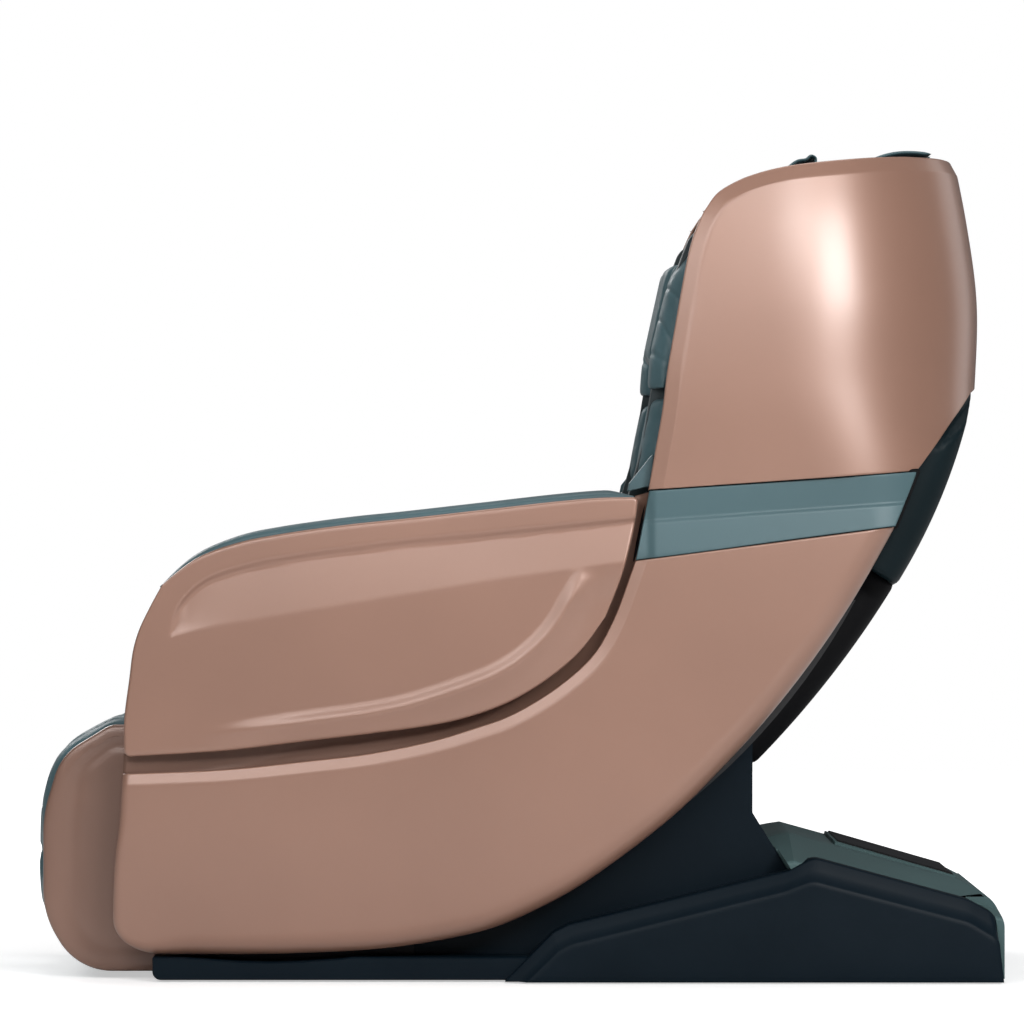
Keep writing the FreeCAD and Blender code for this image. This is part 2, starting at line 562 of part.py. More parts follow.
def make_leg_cushion():
    """The pod's padding with two calf wells, crowned between its cheeks."""
    wires = []
    for y, swell in ((-POD_HALF, -5), (-POD_HALF + 14, 0), (-40, 0), (0, -4), (40, 0), (POD_HALF - 14, 0),
                     (POD_HALF, -5)):
        wires.append(outline(inset(POD, -swell), "xz", y))
    body = Part.makeLoft(wires, True, True)
    body = body.cut(box(POD_BACK - 4, POD_BACK + 10, -POD_HALF, POD_HALF, 0, 400))
    for y in (WELL_Y, -WELL_Y):
        well = slab([(-800, y - WELL_HALF), (-800, y + WELL_HALF), (WELL_BACK, y + WELL_HALF, 56),
                     (WELL_BACK, y - WELL_HALF, 56)], WELL_FLOOR, 420, "xy")
        pocket = box(FOOT_ROLLER_X - 25, FOOT_ROLLER_X + 25, y - 54, y + 54, 44, WELL_FLOOR + 6)
        body = body.cut(well).cut(pocket)
    body = body.cut(rod_y(6.0, FOOT_ROLLER_X, FOOT_ROLLER_Z, -POD_HALF + 4, POD_HALF - 4))
    return max(body.Solids, key=lambda s: s.Volume)


def make_foot_rollers():
    """Knobbed rollers on one shaft, half sunk in the floor of the foot wells."""
    pieces = [rod_y(5, FOOT_ROLLER_X, FOOT_ROLLER_Z, -POD_HALF + 6, POD_HALF - 6)]
    for center in (-WELL_Y, WELL_Y):
        pieces.append(rod_y(12, FOOT_ROLLER_X, FOOT_ROLLER_Z, center - 46, center + 46))
        for step in (-36, -12, 12, 36):
            y = center + step
            pieces.append(rod_y(17, FOOT_ROLLER_X, FOOT_ROLLER_Z, y - 6, y + 6))
    return fuse_all(pieces)


def back_frame(shape):
    """Moves a piece from the back's own axes (X rearwards, Z up the back) to its place."""
    placed = shape.copy()
    placed.rotate(V(0, 0, 0), Y_AXIS, BACK_LEAN_DEG)
    placed.translate(V(BACK_FOOT_X, 0, BACK_FOOT_Z))
    return placed


def back_point(depth, height):
    a = math.radians(BACK_LEAN_DEG)
    return (BACK_FOOT_X + depth * math.cos(a) + height * math.sin(a),
            BACK_FOOT_Z - depth * math.sin(a) + height * math.cos(a))


def make_seat_cushion():
    """Crowned, with side rolls and two sewn channels along its length."""
    wires = []
    for y, rise in ((-256, -8), (-250, 3), (-215, 12), (-180, -4), (-172, -7), (-120, 2), (0, 4),
                    (120, 2), (172, -7), (180, -4), (215, 12), (250, 3), (256, -8)):
        wires.append(outline([(-460, 384, 12), (-462, 452 + rise, 32), (84, 404 + rise, 8), (90, 384, 4)],
                             "xz", y))
    return Part.makeLoft(wires, True, True)


def make_back_cushion():
    """The back pad: dished in its middle, with side rolls, and folded over the top of the shell."""
    wires = []
    for y, push in ((-232, -18), (-226, 2), (-196, 10), (-164, 2), (-150, -12), (-90, -4), (0, 0), (90, -4),
                    (150, -12), (164, 2), (196, 10), (226, 2), (232, -18)):
        front = -push
        wires.append(outline([(front, 12, 12), (front, 600, 300), (front + 16, 742, 60), (150, 742, 12),
                              (150, 704, 12), (50, 704, 20), (50, 12, 8)], "xz", y))
    return back_frame(Part.makeLoft(wires, True, True))


def make_top_pad():
    """The padding between the cheeks of the head shell, with its corners rounded like the shell."""
    wires = []
    for y, drop in ((-318, 14), (-304, 4), (-200, 1), (0, 0), (200, 1), (304, 4), (318, 14)):
        wires.append(outline([(304, 1123.5 - drop, 3), (302, 1133 - drop, 5), (352, 1152 - drop, 60),
                              (592, 1166 - drop, 24), (600, 1123.5 - drop, 8)],
                             "xz", y))
    return Part.makeLoft(wires, True, True).common(head_block(HEAD_LIP + 1))


def make_pillow_strap():
    """The strap that holds the pillow: over the top pad, with two folded flaps."""
    band = slab([(251.5, 1043), (266.5, 1083, 37), (295, 1135, 57), (350, 1157, 60), (592, 1169),
                 (592, 1172), (349.4, 1160, 63), (292.8, 1137.4, 60), (263.5, 1084, 40), (248.5, 1044)],
                -105, 105)
    front_fold = [(384, 1161), (407, 1186, 8), (421, 1188), (428, 1195.5, 2), (435.5, 1193.5, 2), (432, 1162)]
    rear_fold = [(500, 1166), (511, 1185, 12), (550, 1198.5, 30), (604, 1196.5, 2), (600, 1187, 3),
                 (562, 1170)]
    pieces = [band]
    for fold in (front_fold, rear_fold):
        wires = [outline(inset(fold, shrink), "xz", y)
                 for y, shrink in ((-118, 1.6), (-114, 0), (114, 0), (118, 1.6))]
        pieces.append(Part.makeLoft(wires, True, True))
    return fuse_all(pieces)


def make_shoulder_pad():
    """A pad at the side of the head and shoulder, proud of the shell's front edge."""
    wires = []
    for y, push in ((240, -18), (247, 2), (272, 12), (300, 8), (322, -12)):
        front = -push
        back = front / 2
        wires.append(outline([(191 + front, 843, 5), (196 + front, 900, 160), (224 + front, 1010, 90),
                              (258 + front, 1050, 20), (330, 1050, 16), (306, 960, 90), (213 + back, 868, 24),
                              (209 + back, 843, 5)], "xz", y))
    return Part.makeLoft(wires, True, True)


def make_flank_pad():
    """The lower side pad between the armrest and the shoulder."""
    wires = []
    for y, push in ((240, -14), (247, 2), (272, 8), (300, 4), (320, -12)):
        front = -push
        wires.append(outline([(168 + front, 712, 16), (192 + front, 838, 16), (292, 826, 14), (262, 712, 14)],
                             "xz", y))
    return Part.makeLoft(wires, True, True)


def make_pillow():
    """The head pillow, hung from its strap."""
    wires = []
    for y, swell in ((-150, -9), (-140, -1), (-70, 4), (0, 1), (70, 4), (140, -1), (150, -9)):
        wires.append(outline([(-27 - swell, 490, 12), (-26 - swell, 646, 14), (-5, 656, 5), (-5, 480, 5)],
                             "xz", y))
    return back_frame(Part.makeLoft(wires, True, True))


def make_track_rails():
    """A pair of channels up the back that bend forward under the seat."""
    def path(depth0, depth1):
        x0, z0 = back_point(depth0, TRACK_TOP)
        x1, z1 = back_point(depth1, TRACK_TOP)
        low0, low1 = back_point(depth0, -40), back_point(depth1, -40)
        seat0 = 372.0 - (depth0 - TRACK_DEPTH)
        seat1 = 372.0 - (depth1 - TRACK_DEPTH)
        a = math.radians(BACK_LEAN_DEG)
        c0 = (low0[0] - (low0[1] - seat0) * math.tan(a), seat0)
        c1 = (low1[0] - (low1[1] - seat1) * math.tan(a), seat1)
        bend = 150.0
        return [(x0, z0), (c0[0], c0[1], bend), (-250, seat0), (-250, seat1),
                (c1[0], c1[1], bend + depth1 - depth0), (x1, z1)]
    rail = slab(path(TRACK_DEPTH, TRACK_DEPTH + 40), TRACK_IN, TRACK_OUT)
    groove = slab(path(TRACK_DEPTH + 4, TRACK_DEPTH + 36), TRACK_IN - 1, TRACK_OUT - 4)
    return both(rail.cut(groove))


def make_carriage():
    """The frame that climbs the back, with a bearing at each side of its two shafts."""
    half = CARRIAGE_HALF - 6.0
    plates = []
    for y in (-CARRIAGE_HALF, half):
        plates.append(box(TRACK_DEPTH - 44, TRACK_DEPTH + 60, y, y + 6, CARRIAGE_AT - 70, CARRIAGE_AT + 70))
    for z in (CARRIAGE_AT - 60, CARRIAGE_AT + 40):
        plates.append(box(TRACK_DEPTH + 44, TRACK_DEPTH + 58, -half, half, z, z + 20))
    plates.append(box(TRACK_DEPTH + 56, TRACK_DEPTH + 60, -half, half, CARRIAGE_AT - 68, CARRIAGE_AT + 68))
    motors = [rod_y(27, TRACK_DEPTH + 33, CARRIAGE_AT + 2, y, y + 90) for y in (-130, 40)]
    frame = fuse_all(plates + motors)
    for x, height, radius in ((TRACK_DEPTH - 20, 0.0, KNEADING_R), (TRACK_DEPTH + 20, WALKING_AXLE, AXLE_R),
                              (TRACK_DEPTH + 20, GUIDE_AXLE, AXLE_R)):
        frame = frame.cut(rod_y(radius + RUN, x, CARRIAGE_AT + height, -200, 200))
    return back_frame(frame)


def make_axle(height):
    """An axle with a wheel at each end, running in the track channels."""
    x, z = TRACK_DEPTH + 20, CARRIAGE_AT + height
    pieces = [rod_y(AXLE_R, x, z, -228, 228)]
    for y in (-228, 208):
        pieces.append(rod_y(AXLE_WHEEL_R, x, z, y, y + 20))
    return back_frame(fuse_all(pieces))


def make_kneading_shaft():
    x, z = TRACK_DEPTH - 20, CARRIAGE_AT
    shaft = rod_y(KNEADING_R, x, z, -200, 200)
    return back_frame(shaft)


def make_massage_arm(side):
    """A rocker on the kneading shaft with a roller pin at each end."""
    x, z, y = TRACK_DEPTH - 20, CARRIAGE_AT, ARM_Y
    tip_x, tip = x - ROLLER_FORWARD, ARM_REACH + 12
    plate = slab([(x - 16, z - 22, 12), (tip_x - 12, z - tip, 7), (tip_x + 14, z - tip, 11), (x + 20, z, 16),
                  (tip_x + 14, z + tip, 11), (tip_x - 12, z + tip, 7), (x - 16, z + 22, 12)], y - 5, y + 5)
    hub = rod_y(20, x, z, y - 14, y + 14)
    pieces = [plate, hub]
    for end in (ARM_REACH, -ARM_REACH):
        pieces.append(rod_y(PIN_R, tip_x, z + end, y, y + 34))
    arm = fuse_all(pieces).cut(rod_y(KNEADING_R + RUN, x, z, y - 20, y + 20))
    placed = back_frame(arm)
    return placed if side > 0 else mirrored(placed)


def make_massage_roller(side, end):
    """A ball cut flat on both sides."""
    x, z, y = TRACK_DEPTH - 20 - ROLLER_FORWARD, CARRIAGE_AT + end * ARM_REACH, ARM_Y + 21
    reach = MASSAGE_ROLLER_R + 16
    ball = Part.makeSphere(MASSAGE_ROLLER_R, V(x, y, z))
    ball = ball.common(box(x - reach, x + reach, y - 13, y + 13, z - reach, z + reach))
    ball = ball.cut(rod_y(PIN_R + RUN, x, z, y - 20, y + 20))
    placed = back_frame(ball)
    return placed if side > 0 else mirrored(placed)


# Control panel on the inner face of the right armrest: button name, x, radius
PANEL_Z, PANEL_IN, PANEL_OUT = 585.0, 254.0, 262.0
BUTTONS = (("button_power", -306.0, 10.0), ("button_recline", -264.0, 8.0), ("button_raise", -224.0, 8.0))
BUTTON_TRAVEL = 1.5


def make_control_panel():
    plate = slab([(-330, PANEL_Z - 20, 8), (-330, PANEL_Z + 20, 8), (-186, PANEL_Z + 20, 8),
                  (-186, PANEL_Z - 20, 8)], PANEL_IN, PANEL_OUT)
    for _, x, radius in BUTTONS:
        plate = plate.cut(rod_y(radius + 0.4, x, PANEL_Z, PANEL_IN - 1, PANEL_OUT - 1))
    return plate


def make_button(x, radius):
    return rod_y(radius, x, PANEL_Z, PANEL_IN - 2.0, PANEL_OUT - 1 - BUTTON_TRAVEL - 0.3)


# Electric parts in the rear box
SWITCH_X, SWITCH_TIP_DEG = 686.0, 8.0
SWITCH_Y, SWITCH_HALF = -120.0, 6.0
SOCKET_Y, SOCKET_HALF, SOCKET_TALL = -175.0, 14.0, 10.0
REAR_PART_Z = 62.0
WHEEL_X, WHEEL_Z, WHEEL_R = 600.0, 33.0, 29.0
WHEEL_IN, WHEEL_OUT = 250.0, 276.0


def make_power_supply():
    return box(400, 560, -220, -60, PAN_TOP, 126)


def make_air_pump():
    """A twin-headed diaphragm pump on its plate."""
    pump = box(400, 540, 60, 200, PAN_TOP, 100)
    for x in (430, 500):
        pump = pump.fuse(Part.makeCylinder(26, 28, V(x, 130, 100), Z_AXIS))
    return pump.removeSplitter()


def make_inlet_socket():
    """The socket for a detachable lead, in the rear wall; its mouth is three pins deep."""
    def block(x0, x1, half, tall):
        return box(x0, x1, SOCKET_Y - half, SOCKET_Y + half, REAR_PART_Z - tall, REAR_PART_Z + tall)
    flange = block(LID_REAR, BASE_REAR, 25, 16)
    body = block(BASE_REAR - 26, LID_REAR, SOCKET_HALF, SOCKET_TALL)
    mouth = block(BASE_REAR - 18, BASE_REAR + 1, SOCKET_HALF - 2, SOCKET_TALL - 2)
    pins = [box(BASE_REAR - 20, BASE_REAR - 4, SOCKET_Y + y - 1, SOCKET_Y + y + 1, REAR_PART_Z + z - 2.5,
                REAR_PART_Z + z + 2.5) for y, z in ((-7, -1), (0, 3), (7, -1))]
    return fuse_all([flange.fuse(body).cut(mouth)] + pins)


def make_rocker_switch():
    """A rocker in its off position, tipped about a pivot behind the rear wall."""
    rocker = slab([(SWITCH_X - 6, -9), (SWITCH_X + 4.6, -10.5, 1), (SWITCH_X + 3.2, 0),
                   (SWITCH_X + 4.6, 10.5, 1),
                   (SWITCH_X - 6, 9)], SWITCH_Y - SWITCH_HALF, SWITCH_Y + SWITCH_HALF)
    rocker.translate(V(0, 0, REAR_PART_Z))
    rocker.rotate(V(SWITCH_X, 0, REAR_PART_Z), Y_AXIS, -SWITCH_TIP_DEG)
    return rocker


def make_transport_wheels():
    wheel = rod_y(WHEEL_R, WHEEL_X, WHEEL_Z, WHEEL_IN, WHEEL_OUT)
    return both(wheel.cut(rod_y(PIN_R + RUN, WHEEL_X, WHEEL_Z, WHEEL_IN - 5, WHEEL_OUT + 5)))


def make_rubber_feet():
    feet = []
    for x in (-478, -110, 380, 655):
        for y in (228, -228):
            feet.append(Part.makeCylinder(FOOT_R, FOOT_HEIGHT, V(x, y, 0), Z_AXIS))
    return Part.makeCompound(feet)


def main():
    os.makedirs("parts", exist_ok=True)
    shell = make_side_shell()
    save(shell, "side_shell_right")
    save(mirrored(shell), "side_shell_left")
    panel = make_armrest_panel()
    save(panel, "armrest_panel_right")
    save(mirrored(panel), "armrest_panel_left")
    save(both(make_armrest_liner()), "armrest_liners")
    save(both(make_armrest_pad()), "armrest_pads")
    save(make_head_shell(), "head_shell")
    save(both(make_band()), "trim_bands")
    save(make_spine_upper(), "spine_cover_upper")
    save(make_spine_lower(), "spine_cover_lower")
    save(make_side_plates(), "side_plates")
    save(make_arc_rails(), "arc_rails")
    save(make_capsule_frame(), "capsule_frame")
    save(make_track_rails(), "track_rails")
    save(make_seat_cushion(), "seat_cushion")
    save(make_back_cushion(), "back_cushion")
    save(make_top_pad(), "top_pad")
    save(both(make_shoulder_pad()), "shoulder_pads")
    save(both(make_flank_pad()), "flank_pads")
    save(make_pillow(), "head_pillow")
    save(make_pillow_strap(), "pillow_strap")

    save(make_base_frame(), "base_frame")
    save(make_tower_plates(), "tower_plates")
    save(make_tower_covers(), "tower_covers")
    save(both(make_rail_cover()), "rail_covers")
    save(both(make_rear_side_cover()), "rear_side_covers")
    save(make_rear_top_cover(), "rear_top_cover")
    save(make_base_pan(), "base_pan")
    save(make_guide_rollers(ROLLER_FRONT_DEG), "guide_rollers_front")
    save(make_guide_rollers(ROLLER_REAR_DEG), "guide_rollers_rear")
    save(make_actuator_housing(), "actuator_housing")
    save(make_actuator_rod(), "actuator_rod")
    save(make_power_supply(), "power_supply")
    save(make_air_pump(), "air_pump")
    save(make_inlet_socket(), "inlet_socket")
    save(make_rocker_switch(), "rocker_switch")
    save(make_transport_wheels(), "transport_wheels")
    save(make_rubber_feet(), "rubber_feet")
    save(make_control_panel(), "control_panel")
    for name, x, radius in BUTTONS:
        save(make_button(x, radius), name)

    save(make_leg_motor(), "leg_motor")
    save(make_leg_frame(), "leg_frame")
    save(make_leg_shell(), "leg_shell")
    cheek = make_leg_panel()
    save(cheek, "leg_panel_right")
    save(mirrored(cheek), "leg_panel_left")
    save(make_leg_cushion(), "leg_cushion")
    save(make_foot_rollers(), "foot_rollers")

    save(make_carriage(), "carriage_frame")
    save(make_axle(WALKING_AXLE), "walking_axle")
    save(make_axle(GUIDE_AXLE), "guide_axle")
    save(make_kneading_shaft(), "kneading_shaft")
    for name, side_sign in (("left", -1), ("right", 1)):
        save(make_massage_arm(side_sign), "massage_arm_" + name)
        for level, end in (("upper", 1), ("lower", -1)):
            save(make_massage_roller(side_sign, end), "massage_roller_" + name + "_" + level)


main()
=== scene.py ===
"""The dressed massage chair: copper shells, teal upholstery and a dark gliding base.

Run as a script. The sizes and colours that a user would change are in ChairSettings.
Outlines are written in millimetres, as in the chair's solids, and made in metres.
"""

import math

import bmesh
import bpy
import numpy as np
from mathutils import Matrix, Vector
from mathutils.bvhtree import BVHTree


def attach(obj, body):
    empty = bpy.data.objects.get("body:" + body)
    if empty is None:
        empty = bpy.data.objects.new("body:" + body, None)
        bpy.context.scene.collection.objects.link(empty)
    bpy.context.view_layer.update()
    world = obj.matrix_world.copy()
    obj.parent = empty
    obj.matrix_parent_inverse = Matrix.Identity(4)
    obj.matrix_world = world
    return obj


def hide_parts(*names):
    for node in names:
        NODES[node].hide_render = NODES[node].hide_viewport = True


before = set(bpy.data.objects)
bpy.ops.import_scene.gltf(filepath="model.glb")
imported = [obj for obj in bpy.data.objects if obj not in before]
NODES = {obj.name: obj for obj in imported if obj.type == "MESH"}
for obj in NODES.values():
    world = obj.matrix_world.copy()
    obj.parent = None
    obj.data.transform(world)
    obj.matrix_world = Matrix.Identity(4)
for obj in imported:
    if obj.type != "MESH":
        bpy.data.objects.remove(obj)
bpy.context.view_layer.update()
MM = 0.001

bl_info = {
    "name": "Massage Chair",
    "version": (1, 0, 0),
    "blender": (4, 5, 0),
    "location": "View3D > Sidebar > Chair",
    "description": "Dresses the massage chair's frame with its shells, upholstery and finishes",
    "category": "Object",
}


# Finishes

def new_material(name):
    """An empty material of this chair, with its Principled shader."""
    material = bpy.data.materials.new("chair_" + name)
    material.use_nodes = True
    nodes = material.node_tree.nodes
    nodes.clear()
    shader = nodes.new("ShaderNodeBsdfPrincipled")
    output = nodes.new("ShaderNodeOutputMaterial")
    material.node_tree.links.new(shader.outputs["BSDF"], output.inputs["Surface"])
    return material, shader


def add_node(material, kind, inputs=None, **settings):
    """A shader node; an input is either another node's output or a plain value."""
    node = material.node_tree.nodes.new(kind)
    for key, value in settings.items():
        setattr(node, key, value)
    for key, value in (inputs or {}).items():
        if isinstance(value, bpy.types.NodeSocket):
            material.node_tree.links.new(value, node.inputs[key])
        else:
            node.inputs[key].default_value = value
    return node


def object_coordinates(material, scale=(1, 1, 1)):
    coordinates = add_node(material, "ShaderNodeTexCoord")
    mapping = add_node(material, "ShaderNodeMapping",
                       {"Vector": coordinates.outputs["Object"], "Scale": scale})
    return mapping.outputs["Vector"]


def noise(material, vector, scale, detail=3.0, rough=0.5):
    return add_node(material, "ShaderNodeTexNoise",
                    {"Vector": vector, "Scale": scale, "Detail": detail, "Roughness": rough}).outputs["Fac"]


def spread(material, value, low, high):
    """Maps a pattern from about 0.3..0.7 to low..high."""
    node = add_node(material, "ShaderNodeMapRange",
                    {"Value": value, "From Min": 0.3, "From Max": 0.7, "To Min": low, "To Max": high})
    return node.outputs["Result"]


def tint(material, factor, first, second):
    """A colour between two, by a factor."""
    node = add_node(material, "ShaderNodeMix", data_type="RGBA")
    material.node_tree.links.new(factor, node.inputs["Factor"])
    node.inputs[6].default_value = (*first, 1)
    node.inputs[7].default_value = (*second, 1)
    return node.outputs[2]


def bump(material, height, strength, distance, under=None):
    inputs = {"Height": height, "Strength": strength, "Distance": distance}
    if under is not None:
        inputs["Normal"] = under
    return add_node(material, "ShaderNodeBump", inputs).outputs["Normal"]


def link(material, output, shader, name):
    material.node_tree.links.new(output, shader.inputs[name])


def shade(color, factor):
    """The colour made darker or lighter."""
    return tuple(min(1.0, c * factor) for c in color)


def lacquer(name, color, metallic=0.22, roughness=0.4, coat=0.9):
    """Satin metallic paint: a fine flake and a soft drift of tone under a clear coat."""
    material, shader = new_material(name)
    vector = object_coordinates(material)
    drift = noise(material, vector, 3.0, 2.0)
    flake = noise(material, vector, 900.0, 2.0)
    base = tint(material, spread(material, drift, 0.0, 1.0), shade(color, 0.95), shade(color, 1.06))
    link(material, base, shader, "Base Color")
    link(material, spread(material, flake, roughness - 0.05, roughness + 0.06), shader, "Roughness")
    shader.inputs["Metallic"].default_value = metallic
    shader.inputs["Coat Weight"].default_value = coat
    shader.inputs["Coat Roughness"].default_value = 0.26
    ripple = noise(material, vector, 9.0, 1.0)
    fine = bump(material, flake, 0.03, 0.0002)
    link(material, bump(material, ripple, 0.03, 0.002, fine), shader, "Normal")
    return material


def moulded(name, color, roughness=0.5, grain=700.0, depth=0.12):
    """Moulded plastic with a fine spark-eroded grain."""
    material, shader = new_material(name)
    vector = object_coordinates(material)
    drift = noise(material, vector, 5.0, 3.0)
    fine = noise(material, vector, grain, 2.0)
    base = tint(material, spread(material, drift, 0.0, 1.0), shade(color, 0.88), shade(color, 1.12))
    link(material, base, shader, "Base Color")
    link(material, spread(material, drift, roughness - 0.06, roughness + 0.07), shader, "Roughness")
    link(material, bump(material, fine, depth, 0.0003), shader, "Normal")
    shader.inputs["Specular IOR Level"].default_value = 0.12
    return material


def leather(name, color, roughness=0.48):
    """Coated leather: pebble cells, fine creases, soft wear and a slight sheen."""
    material, shader = new_material(name)
    vector = object_coordinates(material)
    cells = add_node(material, "ShaderNodeTexVoronoi", {"Vector": vector, "Scale": 420.0},
                     feature="DISTANCE_TO_EDGE")
    pores = add_node(material, "ShaderNodeTexVoronoi", {"Vector": vector, "Scale": 900.0})
    drift = noise(material, vector, 7.0, 4.0)
    crease = noise(material, vector, 60.0, 5.0, 0.6)
    base = tint(material, spread(material, drift, 0.0, 1.0), shade(color, 0.8), shade(color, 1.22))
    link(material, base, shader, "Base Color")
    link(material, spread(material, crease, roughness - 0.1, roughness + 0.1), shader, "Roughness")
    first = bump(material, cells.outputs["Distance"], 0.35, 0.0004)
    second = bump(material, pores.outputs["Distance"], 0.15, 0.0002, first)
    link(material, bump(material, crease, 0.18, 0.0012, second), shader, "Normal")
    shader.inputs["Sheen Weight"].default_value = 0.12
    shader.inputs["Sheen Roughness"].default_value = 0.4
    return material


def metal(name, color, roughness=0.32, along=(1, 90, 90)):
    """Brushed or drawn metal with scratches along its length."""
    material, shader = new_material(name)
    vector = object_coordinates(material, along)
    streak = noise(material, vector, 12.0, 4.0, 0.6)
    base = tint(material, spread(material, streak, 0.0, 1.0), shade(color, 0.86), shade(color, 1.08))
    link(material, base, shader, "Base Color")
    link(material, spread(material, streak, roughness - 0.08, roughness + 0.12), shader, "Roughness")
    link(material, bump(material, streak, 0.06, 0.0002), shader, "Normal")
    shader.inputs["Metallic"].default_value = 1.0
    return material


def powder_coat(name, color, roughness=0.55):
    """Powder paint with an orange-peel surface."""
    material, shader = new_material(name)
    vector = object_coordinates(material)
    peel = noise(material, vector, 260.0, 2.0)
    drift = noise(material, vector, 6.0, 3.0)
    base = tint(material, spread(material, drift, 0.0, 1.0), shade(color, 0.85), shade(color, 1.15))
    link(material, base, shader, "Base Color")
    link(material, spread(material, peel, roughness - 0.08, roughness + 0.08), shader, "Roughness")
    link(material, bump(material, peel, 0.2, 0.0004), shader, "Normal")
    return material


def thread(name, color):
    """Twisted sewing thread, painted darker in the grooves of its twist as shade."""
    material, shader = new_material(name)
    vector = object_coordinates(material)
    twist = add_node(material, "ShaderNodeTexWave", {"Vector": vector, "Scale": 500.0, "Distortion": 1.0})
    # The colour follows the twist's bump: darker in its grooves as painted shade.
    base = tint(material, twist.outputs["Fac"], shade(color, 0.75), shade(color, 1.15))
    link(material, base, shader, "Base Color")
    link(material, bump(material, twist.outputs["Fac"], 0.4, 0.0003), shader, "Normal")
    shader.inputs["Roughness"].default_value = 0.75
    return material


def finish_named(name):
    """The finish of that name, made once from the settings."""
    if "chair_" + name in bpy.data.materials:
        return bpy.data.materials["chair_" + name]
    s = bpy.context.scene.massage_chair
    makers = {
        "copper": lambda: lacquer("copper", tuple(s.shell_color)),
        # Darker copper for the leg pod's cheeks: painted shade.
        "copper_shade": lambda: lacquer("copper_shade", shade(tuple(s.shell_color), 0.76)),
        # The groove's copper at half brightness: painted shade in the hollow.
        "copper_groove": lambda: lacquer("copper_groove", shade(tuple(s.shell_color), 0.5), 0.2, 0.5, 0.0),
        "teal_band": lambda: lacquer("teal_band", tuple(s.band_color), 0.1, 0.5, 0.15),
        "teal_leather": lambda: leather("teal_leather", tuple(s.leather_color)),
        # Darker teal leather for the strap's rear underside: painted shade.
        "teal_leather_dark": lambda: leather("teal_leather_dark", shade(tuple(s.leather_color), 0.55)),
        # Near-black leather for the wall behind the side pads: painted shade.
        "leather_black": lambda: leather("leather_black", shade(tuple(s.leather_color), 0.22)),
        "navy_plastic": lambda: moulded("navy_plastic", tuple(s.cover_color), 0.42),
        "spine_plastic": lambda: moulded("spine_plastic", (0.006, 0.013, 0.016), 0.4),
        "lid_plastic": lambda: moulded("lid_plastic", (0.075, 0.125, 0.127), 0.38),
        # Black plastic of the solids, also the strip along the lid hatch's top, which is painted shade of its
        # recess line.
        "black_plastic": lambda: moulded("black_plastic", (0.012, 0.012, 0.013), 0.45),
        "grey_plastic": lambda: moulded("grey_plastic", (0.32, 0.33, 0.34), 0.4),
        "roller_plastic": lambda: moulded("roller_plastic", (0.30, 0.27, 0.22), 0.38),
        "black_paint": lambda: powder_coat("black_paint", (0.016, 0.016, 0.018)),
        "motor_paint": lambda: powder_coat("motor_paint", (0.06, 0.062, 0.066), 0.45),
        "steel": lambda: metal("steel", (0.52, 0.53, 0.54)),
        "rubber": lambda: moulded("rubber", (0.012, 0.012, 0.012), 0.75, 300.0, 0.3),
        "thread": lambda: thread("thread", shade(tuple(s.leather_color), 1.7)),
        # Near black: the lower spine cover's own colour, and painted shade behind the bands' seams.
        "vent_black": lambda: moulded("vent_black", (0.004, 0.004, 0.005), 0.6),
    }
    return makers[name]()


# Curves and surfaces

def spline(points, count=120):
    """Evenly spaced points along a smooth curve through the given ones."""
    p = np.asarray(points, float)
    if len(p) == 2:
        t = np.linspace(0, 1, count)[:, None]
        return p[0] * (1 - t) + p[1] * t
    knots = np.concatenate([[0], np.cumsum(np.sqrt(np.linalg.norm(np.diff(p, axis=0), axis=1)))])
    slope = np.gradient(p, knots, axis=0)
    t = np.linspace(0, knots[-1], count * 4)
    i = np.clip(np.searchsorted(knots, t, side="right") - 1, 0, len(p) - 2)
    h = (knots[i + 1] - knots[i])[:, None]
    f = ((t - knots[i]) / (knots[i + 1] - knots[i]))[:, None]
    dense = ((2 * f ** 3 - 3 * f ** 2 + 1) * p[i] + (f ** 3 - 2 * f ** 2 + f) * h * slope[i]
             + (-2 * f ** 3 + 3 * f ** 2) * p[i + 1] + (f ** 3 - f ** 2) * h * slope[i + 1])
    return respaced(dense, count)


def respaced(points, count):
    """The same line with its points evenly spaced."""
    p = np.asarray(points, float)
    run = np.concatenate([[0], np.cumsum(np.linalg.norm(np.diff(p, axis=0), axis=1))])
    t = np.linspace(0, run[-1], count)
    return np.stack([np.interp(t, run, p[:, k]) for k in range(p.shape[1])], axis=1)


def joined(*parts):
    """One even curve made of several that meet end to end, with their corners kept."""
    return respaced(np.concatenate([np.asarray(part, float) for part in parts]), 240)


def along(curve, t):
    """Points at shares t of a curve."""
    x = np.linspace(0, 1, len(curve))
    return np.stack([np.interp(t, x, curve[:, k]) for k in range(curve.shape[1])], axis=-1)


def length_of(curve):
    return float(np.linalg.norm(np.diff(curve, axis=0), axis=1).sum())


def stations(length, step, marks):
    """Distances along a side: even in its middle, and at the given marks from each of its ends."""
    near = list(marks)
    count = max(2, int(round((length - 2 * near[-1]) / step)))
    middle = [near[-1] + (length - 2 * near[-1]) * k / count for k in range(1, count)]
    return np.array(near + middle + [length - v for v in reversed(near)])


def distance_to(curve, x, z):
    """Distance from each point to a curve, and the side it lies on (positive above or left of it)."""
    best = np.full(x.shape, 1e9)
    side = np.zeros(x.shape)
    for a, b in zip(curve[:-1], curve[1:]):
        d = b - a
        t = np.clip(((x - a[0]) * d[0] + (z - a[1]) * d[1]) / max(float(d @ d), 1e-9), 0, 1)
        ex, ez = x - (a[0] + t * d[0]), z - (a[1] + t * d[1])
        gap = np.hypot(ex, ez)
        nearer = gap < best
        side = np.where(nearer, np.sign(d[0] * ez - d[1] * ex), side)
        best = np.where(nearer, gap, best)
    return best, side


